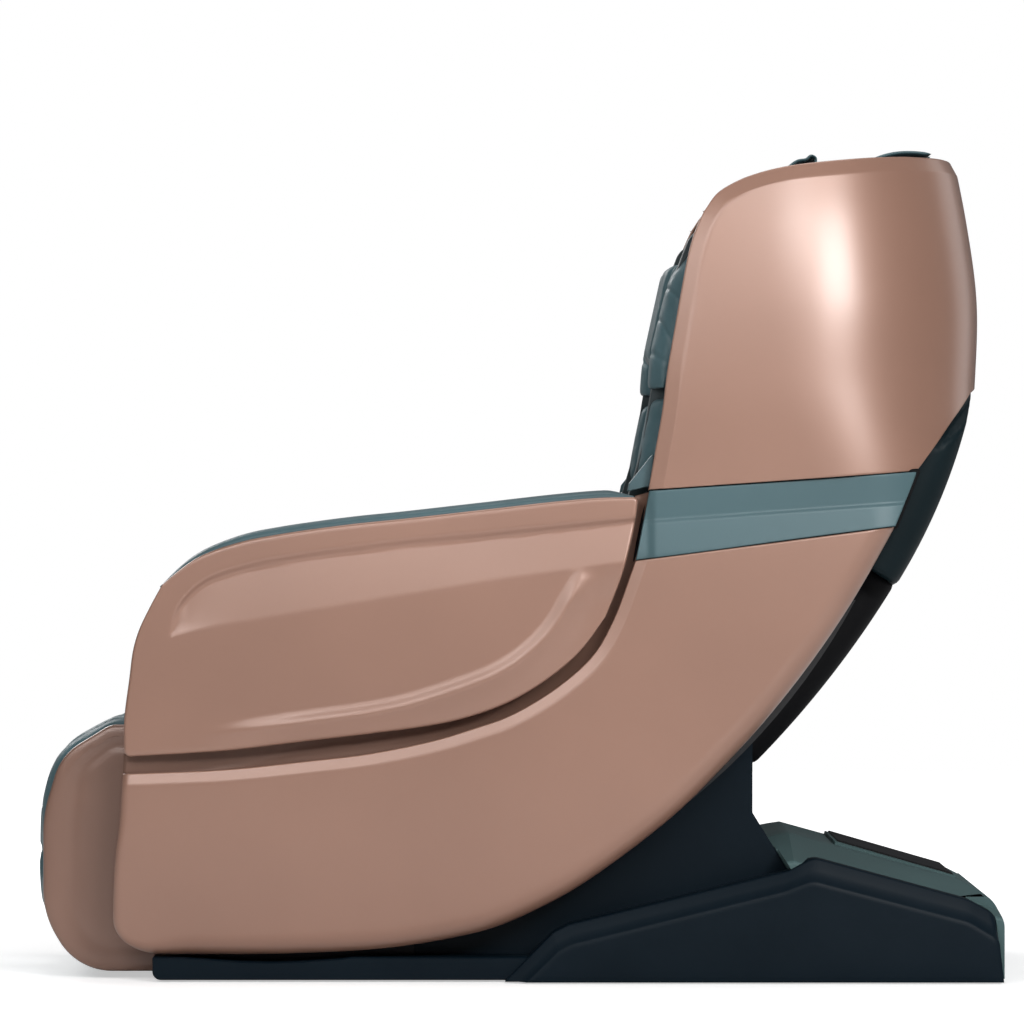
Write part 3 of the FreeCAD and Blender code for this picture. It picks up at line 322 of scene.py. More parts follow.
def patch(low, high, front, rear, step=5.0, marks=(0, 0.5, 1.4, 2.6, 4.0), corners=(0, 0, 0, 0)):
    """A surface patch between four curves. Corner radii: front-low, rear-low, front-high, rear-high.

    Gives x, z and the distances to the front, rear, low and high side, all as grids."""
    long = (length_of(low) + length_of(high)) / 2
    tall = (length_of(front) + length_of(rear)) / 2
    s, t = np.meshgrid(stations(long, step, marks), stations(tall, step, marks), indexing="ij")
    rounding = np.zeros(s.shape)
    gap = np.full(s.shape, 1e9)
    for k, radius in enumerate(corners):
        if radius <= 0:
            continue
        at_rear, at_high = k % 2, k // 2
        cs = long - radius if at_rear else radius
        ct = tall - radius if at_high else radius
        ds = (s - cs) * (1 if at_rear else -1)
        dt = (t - ct) * (1 if at_high else -1)
        inside = (ds > 0) & (dt > 0)
        reach = np.maximum(ds, dt)
        norm = np.maximum(np.hypot(ds, dt), 1e-9)
        s = np.where(inside, cs + (1 if at_rear else -1) * ds / norm * reach, s)
        t = np.where(inside, ct + (1 if at_high else -1) * dt / norm * reach, t)
        gap = np.where(inside, radius - reach, gap)
        rounding = np.where(inside, 1.0, rounding)
    u, v = s / long, t / tall
    c0, c1 = along(low, u), along(high, u)
    d0, d1 = along(front, v), along(rear, v)
    u, v = u[..., None], v[..., None]
    flat = ((1 - u) * (1 - v) * low[0] + u * (1 - v) * low[-1] + (1 - u) * v * high[0] + u * v * high[-1])
    p = (1 - v) * c0 + v * c1 + (1 - u) * d0 + u * d1 - flat
    sides = [np.where(rounding > 0, np.minimum(gap, d), d) for d in (s, long - s, t, tall - t)]
    return p[..., 0], p[..., 1], sides


def roll(distance, radius):
    """How far a surface drops near an edge that is rounded over."""
    inside = np.clip(radius - distance, 0, radius)
    return radius - np.sqrt(np.maximum(radius ** 2 - inside ** 2, 0))


def step_between(value, low, high):
    """A smooth step from 0 at low to 1 at high."""
    f = np.clip((value - low) / (high - low), 0, 1)
    return f * f * (3 - 2 * f)


def mesh_object(name, vertices, faces, finish, smooth=True):
    mesh = bpy.data.meshes.new(name)
    mesh.from_pydata([tuple(v) for v in vertices], [], faces)
    mesh.validate()
    mesh.polygons.foreach_set("use_smooth", [smooth] * len(mesh.polygons))
    mesh.materials.append(finish_named(finish))
    piece = bpy.data.objects.new(name, mesh)
    bpy.context.scene.collection.objects.link(piece)
    return piece


def grid_faces(rows, columns, flip=False):
    faces = []
    for i in range(rows - 1):
        for j in range(columns - 1):
            a, b = i * columns + j, (i + 1) * columns + j
            quad = (a, b, b + 1, a + 1)
            faces.append(quad[::-1] if flip else quad)
    return faces


def border_loop(rows, columns):
    """The indices round a grid, in order."""
    loop = [j for j in range(columns)]
    loop += [i * columns + columns - 1 for i in range(1, rows)]
    loop += [(rows - 1) * columns + j for j in range(columns - 2, -1, -1)]
    loop += [i * columns for i in range(rows - 2, 0, -1)]
    return loop


def turned_out(piece, merge=0.00005):
    """Merges doubles and points the faces outwards."""
    mesh = bmesh.new()
    mesh.from_mesh(piece.data)
    bmesh.ops.remove_doubles(mesh, verts=mesh.verts, dist=merge)
    bmesh.ops.recalc_face_normals(mesh, faces=mesh.faces)
    mesh.to_mesh(piece.data)
    mesh.free()
    return piece


def shell_from_grid(name, x, y, z, skirt, finish, wall=3.0):
    """A thin moulded skin: the grid's surface, a skirt turned in along its border, and a wall thickness."""
    rows, columns = x.shape
    points = np.stack([x, y, z], axis=-1).reshape(-1, 3)
    loop = border_loop(rows, columns)
    edge = points[loop].copy()
    edge[:, 1] = skirt
    base = len(points)
    faces = grid_faces(rows, columns)
    n = len(loop)
    for k in range(n):
        a, b = loop[k], loop[(k + 1) % n]
        faces.append((a, b, base + (k + 1) % n, base + k))
    piece = mesh_object(name, np.concatenate([points, edge]) * MM, faces, finish)
    outward(piece)
    add_wall(piece, wall)
    return piece


def outward(piece):
    """Merges doubles and makes the skin face away from the middle plane."""
    mesh = bmesh.new()
    mesh.from_mesh(piece.data)
    bmesh.ops.remove_doubles(mesh, verts=mesh.verts, dist=0.00002)
    bmesh.ops.recalc_face_normals(mesh, faces=mesh.faces)
    if sum(f.normal.y * f.calc_area() for f in mesh.faces) < 0:
        bmesh.ops.reverse_faces(mesh, faces=mesh.faces)
    mesh.to_mesh(piece.data)
    mesh.free()


def mirror_copy(piece, name):
    """The same piece on the chair's other side."""
    mesh = piece.data.copy()
    mesh.name = name
    work = bmesh.new()
    work.from_mesh(mesh)
    for vertex in work.verts:
        vertex.co.y = -vertex.co.y
    bmesh.ops.reverse_faces(work, faces=work.faces)
    work.to_mesh(mesh)
    work.free()
    other = bpy.data.objects.new(name, mesh)
    bpy.context.scene.collection.objects.link(other)
    for modifier in piece.modifiers:
        if modifier.type == "SOLIDIFY":
            solid = other.modifiers.new("Wall", "SOLIDIFY")
            solid.thickness = modifier.thickness
            solid.offset = modifier.offset
    return other


def corner_ring(corners, arc=7, straight=5):
    """Points round an outline of corners (x, z, radius): the same count whatever the radii."""
    count = len(corners)
    spans = []
    for i in range(count):
        here = np.array(corners[i][:2], float)
        radius = corners[i][2] if len(corners[i]) > 2 else 0.4
        back = np.array(corners[i - 1][:2], float) - here
        ahead = np.array(corners[(i + 1) % count][:2], float) - here
        back, ahead = back / np.linalg.norm(back), ahead / np.linalg.norm(ahead)
        half = math.acos(max(-1.0, min(1.0, float(back @ ahead)))) / 2
        reach = radius / math.tan(half)
        bisector = back + ahead
        center = here + bisector / np.linalg.norm(bisector) * (radius / math.sin(half))
        start, end = here + back * reach, here + ahead * reach
        a0 = math.atan2(*(start - center)[::-1])
        a1 = math.atan2(*(end - center)[::-1])
        turn = (a1 - a0 + math.pi) % (2 * math.pi) - math.pi
        angles = [a0 + turn * k / arc for k in range(arc + 1)]
        spans.append([center + radius * np.array([math.cos(a), math.sin(a)]) for a in angles])
    ring = []
    for i in range(count):
        ring += spans[i]
        start, end = spans[i][-1], spans[(i + 1) % count][0]
        ring += [start + (end - start) * k / straight for k in range(1, straight)]
    return np.array(ring)


def inset(corners, amount):
    """The outline's corners moved inwards (negative: outwards) by the same distance on every side."""
    count = len(corners)
    area = sum(corners[i][0] * corners[(i + 1) % count][1] - corners[(i + 1) % count][0] * corners[i][1]
               for i in range(count))
    turn = 1.0 if area > 0 else -1.0
    moved = []
    for i in range(count):
        before, here, after = corners[i - 1], corners[i], corners[(i + 1) % count]
        ax, az = here[0] - before[0], here[1] - before[1]
        bx, bz = after[0] - here[0], after[1] - here[1]
        al, bl = math.hypot(ax, az), math.hypot(bx, bz)
        n1 = (-az / al * turn, ax / al * turn)
        n2 = (-bz / bl * turn, bx / bl * turn)
        share = 1.0 + n1[0] * n2[0] + n1[1] * n2[1]
        x = here[0] + (n1[0] + n2[0]) / share * amount
        z = here[1] + (n1[1] + n2[1]) / share * amount
        radius = here[2] if len(here) > 2 else 0.4
        convex = (ax * bz - az * bx) * turn > 0
        moved.append((x, z, max(radius - amount if convex else radius + amount, 0.4)))
    return moved


def stacked_plate(name, corners, layers, finish):
    """A moulded plate: the outline inset by each layer's first value at the distance Y of its second."""
    return plate_of_rings(name, [(inset(corners, amount), y) for amount, y in layers], finish)


def add_wall(piece, thickness):
    """Gives a skin its wall thickness, inwards."""
    solid = piece.modifiers.new("Wall", "SOLIDIFY")
    solid.thickness = thickness * MM
    solid.offset = -1.0


def between(first, second, share):
    """The outline that lies part of the way from one to another, corner by corner."""
    return [tuple(a[k] * (1 - share) + b[k] * share for k in range(3))
            for a, b in zip(inset(first, 0), inset(second, 0))]


def plate_of_rings(name, outlines, finish, corner_points=7, angle=32.0, close_back=True):
    """A moulded plate through outlines with the same number of corners, each at its own distance Y."""
    rings = []
    for corners, y in outlines:
        ring = corner_ring(corners, corner_points)
        rings.append(np.stack([ring[:, 0], np.full(len(ring), y), ring[:, 1]], axis=1))
    count = len(rings[0])
    faces = []
    for k in range(len(rings) - 1):
        for i in range(count):
            a, b = k * count + i, k * count + (i + 1) % count
            faces.append((a, b, b + count, a + count))
    last = (len(rings) - 1) * count
    faces.append(tuple(range(last, last + count)))
    if close_back:
        faces.append(tuple(range(count - 1, -1, -1)))
    piece = mesh_object(name, np.concatenate(rings) * MM, faces, finish)
    turned_out(piece)
    smooth_by_angle(piece, angle)
    return piece


def smooth_by_angle(piece, degrees=32.0):
    """Sharp edges where the faces turn by more than the angle, smooth elsewhere."""
    mesh = bmesh.new()
    mesh.from_mesh(piece.data)
    limit = math.radians(degrees)
    for edge in mesh.edges:
        edge.smooth = len(edge.link_faces) == 2 and edge.calc_face_angle(0.0) < limit
    mesh.to_mesh(piece.data)
    mesh.free()


def place(piece, body, *nodes):
    """The finished piece rides on its body and stands for its solids."""
    if nodes:
        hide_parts(*nodes)
    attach(piece, body)
    return piece


# The chair's main lines

BODY_HALF = 372.0
WIDEST_X, WIDEST_Z = 40.0, 350.0


def flank(x, z):
    """The chair's greatest half width at a place on its flank."""
    to_front = np.clip((WIDEST_X - x) / 679.0, 0, 2)
    to_rear = np.clip((x - WIDEST_X) / 700.0, 0, 2)
    below = np.clip((WIDEST_Z - z) / 350.0, 0, 2)
    above = np.clip((z - WIDEST_Z) / 370.0, 0, 2)
    plan = BODY_HALF - 34.0 * to_front ** 2 - 20.0 * to_rear ** 2
    section = BODY_HALF - 16.0 * below ** 2 - 9.0 * above ** 2
    return plan + section - BODY_HALF


SHELL_TOP = [(-565, 297.5), (-414.6, 304.6), (-306.7, 316), (-213, 327.3), (-116.4, 347.2), (-65.3, 362.8),
             (-12.8, 381.3), (54, 421), (105.1, 466.5), (133.5, 514.8), (166, 601.4)]
SHELL_BACK = [(-579, 38), (-453, 38.5), (-311, 41), (-169, 51), (-38.3, 77.4), (28.4, 105.8), (80.9, 134.2),
              (161.9, 191), (231.5, 247.8), (288.3, 304.6), (340.8, 361.4), (387.7, 418.2), (430.3, 475),
              (468.6, 531.8), (502.7, 588.6), (537, 650)]
SHELL_FRONT = [(-579, 38), (-579, 105), (-578, 141), (-575, 187), (-569.4, 229), (-565, 297.5)]
ARM_LOW = [(-563, 322), (-414.6, 331.6), (-306.7, 344.4), (-213, 355.5), (-116.4, 369), (-65.3, 381.3),
           (-12.8, 401.2), (39.8, 432.4), (88, 473.6), (123.5, 521.9)]
ARM_REAR = [(123.5, 521.9), (139.2, 560.2), (149.1, 588.6), (164.7, 651.1), (170.4, 692.3)]
ARM_TOP = [(-508.4, 567.3), (-481.4, 590), (-453, 608.5), (-396.2, 628.4), (-339.4, 639.7), (-282.6, 648.2),
           (-225.8, 655.3), (-169, 661), (-55.4, 673.8), (58.2, 686.6), (115, 691.3), (170.4, 692.3)]
ARM_FRONT = [(-563, 322), (-562.3, 375.6), (-555.2, 432.4), (-549.5, 475), (-541, 503.4), (-525.4, 536.1),
             (-508.4, 567.3)]
ARM_STEP = [(-500, 500), (-491.3, 533.2), (-455.8, 571.6), (-410.4, 591.4), (-316.7, 611.3), (-213, 625.5),
            (-169, 631.2), (-49.7, 642.6), (169, 665.3)]
ARM_BELT = [(-499.8, 496.3), (-169, 551.7), (-49.7, 571.6), (154.8, 601.4)]
ARM_CREASE = [(-455.8, 351.5), (-306.7, 369.9), (-177.5, 389.8), (-99.4, 412.5), (-29.8, 439.5),
              (11.4, 466.5), (46.9, 502), (73.8, 546), (88, 577.2)]

CHAMFER_DEPTH, CHAMFER_WIDTH = 5.6, 16.0
RIM_DEPTH, RIM_WIDTH = 7.0, 20.4
RIDGE_HEIGHT, RIDGE_WIDTH = 6.5, 20.0
STEP_WIDTH = 9.0
SHELL_SKIRT, ARM_SKIRT = 302.0, 322.0
GROOVE_RIM, GROOVE_DEPTH, GROOVE_FLOOR = 344.0, 15.0, 325.0


def make_flank_shells(s):
    """The copper crescents with their chamfered upper edge and rounded back."""
    low, high = spline(SHELL_BACK), spline(SHELL_TOP)
    front, rear = spline(SHELL_FRONT), spline([SHELL_BACK[-1], SHELL_TOP[-1]])
    marks = (0, 0.4, 1.2, 2.4, 4.5, 8, 12, 15.2, 16, 16.8, 18)
    x, z, (_, to_rear, _, _) = patch(low, high, front, rear, s.mesh_step * 1000, marks, (62, 0, 0, 0))
    near_top, _ = distance_to(high, x, z)
    border = np.stack([np.concatenate([grid[0, ::-1], grid[1:, 0]]) for grid in (x, z)], axis=1)
    near_border, _ = distance_to(border, x, z)
    chamfer = CHAMFER_DEPTH * np.clip((CHAMFER_WIDTH - near_top) / CHAMFER_WIDTH, 0, 1) + roll(near_top, 1.2)
    radius = 9.0 + 25.0 * step_between(x, -576, -470)
    y = flank(x, z) - chamfer - roll(near_border, radius) * 0.92 - roll(to_rear, 2.0)
    right = shell_from_grid("flank_shell_right", x, y, z, SHELL_SKIRT, "copper")
    left = mirror_copy(right, "flank_shell_left")
    place(right, "capsule", "side_shell_right")
    place(left, "capsule", "side_shell_left")
    make_grooves()


def make_grooves():
    """The hollow between the armrest and the crescent, in copper at half brightness as painted shade."""
    top = spline([(-564, 326), (-414.6, 336), (-306.7, 349), (-213, 360), (-116.4, 374), (-65.3, 386.5),
                  (-12.8, 406), (39.8, 437), (83, 477), (119, 524), (134, 562), (145, 592), (160, 650),
                  (166, 694)], 160)
    low = spline([(x + 0.15 * max(z - 420, 0) / 2, z - 6) for x, z in SHELL_TOP] + [(188, 700)], 160)
    across = np.linspace(0, 1, 9)[None, :]
    x = low[:, :1] * (1 - across) + top[:, :1] * across
    z = low[:, 1:] * (1 - across) + top[:, 1:] * across
    y = GROOVE_RIM - GROOVE_DEPTH * np.sin(across * math.pi / 2) ** 0.8 * np.ones_like(x)
    y = np.maximum(flank(x, z) - 369.0 + y, GROOVE_FLOOR)
    right = shell_from_grid("groove_right", x, y, z, ARM_SKIRT, "copper_groove", 2.0)
    left = mirror_copy(right, "groove_left")
    place(right, "capsule")
    place(left, "capsule")


def make_armrest_panels(s):
    """The copper armrest panels with their stepped field, belt line and lower crease."""
    low, high, front, rear = spline(ARM_LOW), spline(ARM_TOP), spline(ARM_FRONT), spline(ARM_REAR)
    marks = (0, 0.4, 1.2, 2.4, 4.0)
    x, z, (to_front, to_rear, to_low, to_high) = patch(low, high, front, rear, s.mesh_step * 600, marks,
                                                       (10, 0, 0, 9))
    edge = np.minimum(np.minimum(to_front, to_rear), np.minimum(to_low, to_high))
    to_step, step_side = distance_to(spline(ARM_STEP), x, z)
    to_belt, belt_side = distance_to(spline(ARM_BELT), x, z)
    to_crease, crease_side = distance_to(spline(ARM_CREASE), x, z)
    below_step = np.where(step_side < 0, to_step, 0.0)
    above_belt = np.where(belt_side > 0, to_belt, 0.0)
    facet = np.clip(above_belt / np.maximum(below_step + above_belt - STEP_WIDTH, 1.0), 0, 1)
    sunk = step_between(below_step, 0, STEP_WIDTH) * facet * s.relief_depth * 1000
    sunk = sunk * step_between(x, -505, -470)
    fade = step_between(x, -470, -300) * (1 - step_between(z, 540, 600))
    outside = np.where(crease_side < 0, to_crease, 0.0)
    inside = np.where(crease_side > 0, to_crease, 0.0)
    flange = 14.0 * np.tanh(0.42 * outside / 14.0) * fade
    ridge = RIDGE_HEIGHT * (1 - step_between(inside, 0, RIDGE_WIDTH)) * fade
    y = flank(x, z) + 0.5 - sunk - flange + ridge - roll(edge, 4.0)
    right = shell_from_grid("armrest_shell_right", x, y, z, ARM_SKIRT, "copper")
    left = mirror_copy(right, "armrest_shell_left")
    place(right, "capsule", "armrest_panel_right")
    place(left, "capsule", "armrest_panel_left")


HEAD_HEIGHTS = np.array([600, 720, 850, 980, 1090, 1190.0])
HEAD_HALF = np.array([359, 358.5, 357, 349, 336, 319.0])
HEAD_REAR = np.array([640, 650, 663, 667, 653, 634.0])
HEAD_ROUND = np.array([190, 235, 305, 318, 308, 290.0])
HEAD_INSET, HEAD_LIP = 3.0, 20.0
BELLY_HEIGHT, BELLY_START, BELLY_LENGTH = 5.0, 180, 420


def eased(value, knots, values):
    """Values read from a smooth curve through the measured ones."""
    slope = np.gradient(values, knots)
    i = np.clip(np.searchsorted(knots, value, side="right") - 1, 0, len(knots) - 2)
    h = knots[i + 1] - knots[i]
    f = np.clip((value - knots[i]) / h, 0, 1)
    return ((2 * f ** 3 - 3 * f ** 2 + 1) * values[i] + (f ** 3 - 2 * f ** 2 + f) * h * slope[i]
            + (-2 * f ** 3 + 3 * f ** 2) * values[i + 1] + (f ** 3 - f ** 2) * h * slope[i + 1])


def head_shape(z):
    """Half width, rear and corner radius of the head shell at a height."""
    return [eased(z, HEAD_HEIGHTS, row) for row in (HEAD_HALF, HEAD_REAR, HEAD_ROUND)]


BEND_SHARE = np.linspace(0, 1, 201)
BEND_ANGLE = math.pi / 2 * BEND_SHARE ** 1.6
BEND_ALONG = np.zeros(201)
BEND_ALONG[1:] = np.cumsum((np.cos(BEND_ANGLE[1:]) + np.cos(BEND_ANGLE[:-1])) / 2) / 200
BEND_ACROSS = np.zeros(201)
BEND_ACROSS[1:] = np.cumsum((np.sin(BEND_ANGLE[1:]) + np.sin(BEND_ANGLE[:-1])) / 2) / 200


def head_wrap(p, z, drop):
    """From the unrolled shell (distance round it, height) to its place, moved inwards by a drop."""
    half, rear, radius = head_shape(z)
    start, length = rear - radius, radius / BEND_ALONG[-1]
    share = np.clip((p - start) / length, 0, 1)
    angle = np.interp(share, BEND_SHARE, BEND_ANGLE)
    beyond = np.clip(p - (start + length), 0, None)
    x = np.minimum(p, start) + length * np.interp(share, BEND_SHARE, BEND_ALONG) - drop * np.sin(angle)
    y = half - length * np.interp(share, BEND_SHARE, BEND_ACROSS) - beyond - drop * np.cos(angle)
    swell = np.sin(np.clip((p - BELLY_START) / BELLY_LENGTH, 0, 1) * math.pi)
    belly = BELLY_HEIGHT * swell * np.cos(angle)
    return x, y + belly - HEAD_INSET * np.cos(angle), z


def head_length(z):
    """Half the way round the hood at a height."""
    half, rear, radius = head_shape(z)
    length = radius / BEND_ALONG[-1]
    return rear - radius + length + half - length * BEND_ACROSS[-1]


def unrolled(points):
    """Points (x, height) of the hood's outline as (distance round it, height)."""
    flat = []
    for x, z in points:
        _, rear, radius = head_shape(z)
        start, length = float(rear - radius), float(radius / BEND_ALONG[-1])
        share = float(np.interp((x - start) / length, BEND_ALONG, BEND_SHARE))
        flat.append((x if x < start else start + length * share, z))
    return flat


def hood_room(x, z, gap):
    """Half the width inside the hood at a place, less a gap."""
    half, rear, radius = head_shape(z)
    length = radius / BEND_ALONG[-1]
    share = np.interp((x - rear + radius) / length, BEND_ALONG, BEND_SHARE)
    return half - HEAD_INSET - gap - length * np.interp(share, BEND_SHARE, BEND_ACROSS)


def make_head_shell(s):
    """The copper hood: two cheeks and a round back in one, with a bevelled rim along its opening."""
    side = spline(unrolled([(184.6, 702.5), (380, 716), (480, 723), (569, 730)]))
    climb = unrolled([(569, 730), (594, 762), (622, 800), (645, 830), (654, 843)])
    turn = climb[-1][0]
    low = joined(side, spline(climb),
                 spline([climb[-1], (turn + 40, 849), (turn + 90, 850), (float(head_length(850)), 850)]))
    top_rear = float(head_length(1172))
    over = unrolled([(264, 1100), (283, 1126), (314, 1145), (342, 1155.5), (371, 1163), (399, 1168),
                     (456, 1174.5), (513, 1179.5), (560, 1182)])
    turn = over[-1][0]
    high = joined(spline(over), spline([over[-1], (turn + 80, 1182), (turn + 190, 1178), (top_rear, 1172)]))
    front = spline([(184.6, 702.5), (194.5, 759), (204.5, 815.8), (211.6, 872.6), (221.5, 929.4),
                    (231.5, 986.2), (242.8, 1043), (251.3, 1071.4), (264, 1100)])
    rear = spline([(float(head_length(h)), h) for h in (850, 920, 1000, 1080, 1172)])
    marks = (0, 0.4, 1.2, 2.6, 6, 11, 16, 18.4, 19.4, 20.4, 21.4, 23)
    p, z, _ = patch(low, high, front, rear, s.mesh_step * 1000, marks)
    near_rim, _ = distance_to(joined(front, high), p, z)
    near_low, _ = distance_to(low, p, z)
    drop = RIM_DEPTH * np.clip((RIM_WIDTH - near_rim) / RIM_WIDTH, 0, 1)
    drop = drop + roll(near_rim, 1.5) + roll(near_low, 1.5)
    x, y, z = head_wrap(p, z, drop)
    rows, columns = x.shape
    points = np.stack([x, y, z], axis=-1).reshape(-1, 3)
    lx, ly, lz = head_wrap(p, np.broadcast_to(z, p.shape), drop + HEAD_LIP)
    inner = np.stack([lx, ly, lz], axis=-1).reshape(-1, 3)
    seam = {(rows - 1) * columns + j for j in range(columns)}
    loop = border_loop(rows, columns)
    faces = grid_faces(rows, columns)
    lip = {k: len(points) + n for n, k in enumerate(loop)}
    for k in range(len(loop)):
        a, b = loop[k], loop[(k + 1) % len(loop)]
        if a not in seam or b not in seam:
            faces.append((a, b, lip[b], lip[a]))
    points = np.concatenate([points, inner[loop]])
    count = len(points)
    faces += [tuple(v + count for v in face[::-1]) for face in faces]
    points = np.concatenate([points, points * np.array([1, -1, 1])])
    piece = mesh_object("head_hood", points * MM, faces, "copper")
    mesh = bmesh.new()
    mesh.from_mesh(piece.data)
    bmesh.ops.remove_doubles(mesh, verts=mesh.verts, dist=0.0001)
    bmesh.ops.delete(mesh, geom=[v for v in mesh.verts if not v.link_faces], context="VERTS")
    bmesh.ops.recalc_face_normals(mesh, faces=mesh.faces)
    if sum(f.normal.y * f.calc_center_median().y * f.calc_area() for f in mesh.faces) < 0:
        bmesh.ops.reverse_faces(mesh, faces=mesh.faces)
    mesh.to_mesh(piece.data)
    mesh.free()
    add_wall(piece, 3.0)
    place(piece, "capsule", "head_shell")


def make_bands(s):
    """The teal bands between the crescents and the hood, with a step along their middle."""
    low = spline([(166.5, 602.5), (257, 613.8), (370.6, 629.3), (536.5, 651)])
    high = spline([(186, 701), (300, 709), (440, 719), (568.5, 728.5)])
    front, rear = spline([low[0], (176, 650), high[0]]), spline([low[-1], (553, 690), high[-1]])
    x, z, (to_front, to_rear, to_low, to_high) = patch(low, high, front, rear, 2.5, (0, 0.5, 1.2, 2.0))
    gap, side = distance_to(spline([(181, 657), (370, 671), (555, 684)]), x, z)
    edge = np.minimum(np.minimum(to_front, to_rear), np.minimum(to_low, to_high))
    across = gap * side
    upper = step_between(across, -3, 3)
    lower_depth = 4.5 * np.clip(1 + across / 46, 0, 1)
    upper_depth = 7.0 - 4.0 * np.clip(gap / 40, 0, 1)
    step = lower_depth * (1 - upper) + upper_depth * upper
    y = flank(x, z) - 2.5 - step - roll(edge, 1.6) - 7.0 * step_between(x, 197, 180)
    y -= 16.0 * np.clip((x - 500) / 70, 0, 1) ** 2
    right = shell_from_grid("trim_band_right", x, y, z, 306.0, "teal_band", 2.5)
    left = mirror_copy(right, "trim_band_left")
    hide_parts("trim_bands")
    place(right, "capsule")
    place(left, "capsule", "trim_bands")
    # Near-black plates behind the bands, so that the seams round them show dark: painted shade.
    back = [(186, 698), (569, 729), (537, 650), (166, 601)]
    seat = stacked_plate("band_backing_right", inset(back, -4), [(0, 318), (0, 329), (1.5, 331)],
                         "vent_black")
    place(mirror_copy(seat, "band_backing_left"), "capsule")
    place(seat, "capsule")


# Where the hood's lower edge climbs towards its back
CLIMB_X, CLIMB_Z = (560, 569, 594, 622, 645, 654), (700, 730, 762, 800, 830, 843)


def trough(name, center, radius, half, low_radius, corner, start_deg, end_deg, finish):
    """A cover swept along an arc: a broad back with rounded corners and sides that reach forwards."""
    profile = []
    steps = 8
    flat = 14
    for k in range(flat + 1):
        profile.append((low_radius + (radius - corner - low_radius) * k / flat, -half))
    for k in range(1, steps + 1):
        a = math.pi / 2 * k / steps
        profile.append((radius - corner + corner * math.sin(a), -half + corner - corner * math.cos(a)))
    for k in range(1, 2 * flat):
        bulge = 4.0 * math.sin(math.pi * k / (2 * flat))
        profile.append((radius + bulge, -half + corner + (2 * half - 2 * corner) * k / (2 * flat)))
    for k in range(steps + 1):
        a = math.pi / 2 * (1 - k / steps)
        profile.append((radius - corner + corner * math.sin(a), half - corner + corner * math.cos(a)))
    for k in range(1, flat + 1):
        profile.append((radius - corner + (low_radius - radius + corner) * k / flat, half))
    turns = np.linspace(start_deg, end_deg, 60)
    rows = []
    last = len(turns) - 1
    for n, degrees in enumerate(turns):
        a = math.radians(degrees)
        shrink = {0: 5.0, 1: 1.2, last - 1: 1.2, last: 4.0}.get(n, 0.0)
        for r, y in profile:
            r2 = r - shrink if r > low_radius + 5 else r
            y2 = y * (1 - shrink / half)
            x, z = center[0] + r2 * math.cos(a), center[1] + r2 * math.sin(a)
            edge = float(np.interp(x, CLIMB_X, CLIMB_Z))
            limit = float(hood_room(x, min(max(z, edge), 860.0), 9.0)) + 1.5 * max(edge - 4.0 - z, 0.0)
            rows.append((x, max(-limit, min(limit, y2)), z))
    piece = mesh_object(name, np.array(rows) * MM, grid_faces(len(turns), len(profile)), finish)
    turned_out(piece)
    if sum(p.normal.x * p.area for p in piece.data.polygons) < 0:
        piece.data.flip_normals()
    add_wall(piece, 3.0)
    return piece


def make_spine(s):
    """The two dark covers of the back: a wide one under the hood and a narrow one below it."""
    upper = trough("spine_upper", (-174, 1014.7), 846, 294, 797, 40, -11.2, -32.2, "spine_plastic")
    place(upper, "capsule", "spine_cover_upper")
    lower = trough("spine_lower", (-665.3, 1304.3), 1417, 226, 1348, 34, -31.3, -44.9, "vent_black")
    place(lower, "capsule", "spine_cover_lower")


SIDE_COVER = [(-20, 2), (49, 72), (70, 83, 30), (385, 160, 40), (420, 179, 26), (640, 119, 60),
              (678, 98, 20), (690, 2)]
SIDE_FACE = [(10, 2), (56, 47.5), (74.5, 57.5, 25), (379, 133, 40), (418, 148, 30), (640, 89.5, 60),
             (683, 64, 20), (690, 2)]
RAIL_COVER = [(-523, 3, 12), (-523, 36, 2), (-478, 35), (-400, 29.6), (-356, 28.6), (-312, 29.6), (-250, 34),
              (-240, 36), (60, 36), (60, 3)]
HATCH_SHADE_LINE = [(463, 187.5, 0.6), (465, 193.4, 2), (632, 145.4, 2), (634, 141, 0.6)]
HATCH = [(455, 181, 1), (458, 195.2, 3), (638, 143.5, 3), (642, 129, 1)]


def make_base_covers(s):
    """The rear side covers with their bevelled upper edge, the rail covers and the hatch in the lid, with a
    thin black strip along the hatch's top as painted shade of its recess line.
    """
    rings = [(SIDE_COVER, 300), (SIDE_COVER, 348), (inset(SIDE_COVER, 0.5), 349.3),
             (inset(SIDE_COVER, 1.4), 350)]
    rings += [(between(inset(SIDE_COVER, 1.6), SIDE_FACE, f), 350.2 + 12.6 * f) for f in (0.03, 0.5, 0.96)]
    rings += [(SIDE_FACE, 363.6), (inset(SIDE_FACE, 1.4), 364.6), (inset(SIDE_FACE, 3.5), 365.6),
              (inset(SIDE_FACE, 9.0), 366.4)]
    right = plate_of_rings("rear_cover_right", rings, "navy_plastic", close_back=False)
    left = mirror_copy(right, "rear_cover_left")
    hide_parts("rear_side_covers")
    place(right, "base")
    place(left, "base", "rear_side_covers")
    right = stacked_plate("rail_cover_right", RAIL_COVER, [(0, 266), (0, 328), (0.6, 330.4), (2.0, 331.8)],
                          "navy_plastic")
    left = mirror_copy(right, "rail_cover_left")
    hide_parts("rail_covers")
    place(right, "base")
    place(left, "base", "rail_covers")
    layers = [(1.5, -150), (0, -147), (0, 147), (1.5, 150)]
    place(stacked_plate("lid_hatch", inset(HATCH, 2.2), layers, "lid_plastic"), "base")
    layers = [(1, -141), (0, -140), (0, 140), (1, 141)]
    # A thin black strip along the hatch's top: painted shade of its recess line.
    place(stacked_plate("lid_hatch_plate", HATCH_SHADE_LINE, layers, "black_plastic"), "base")


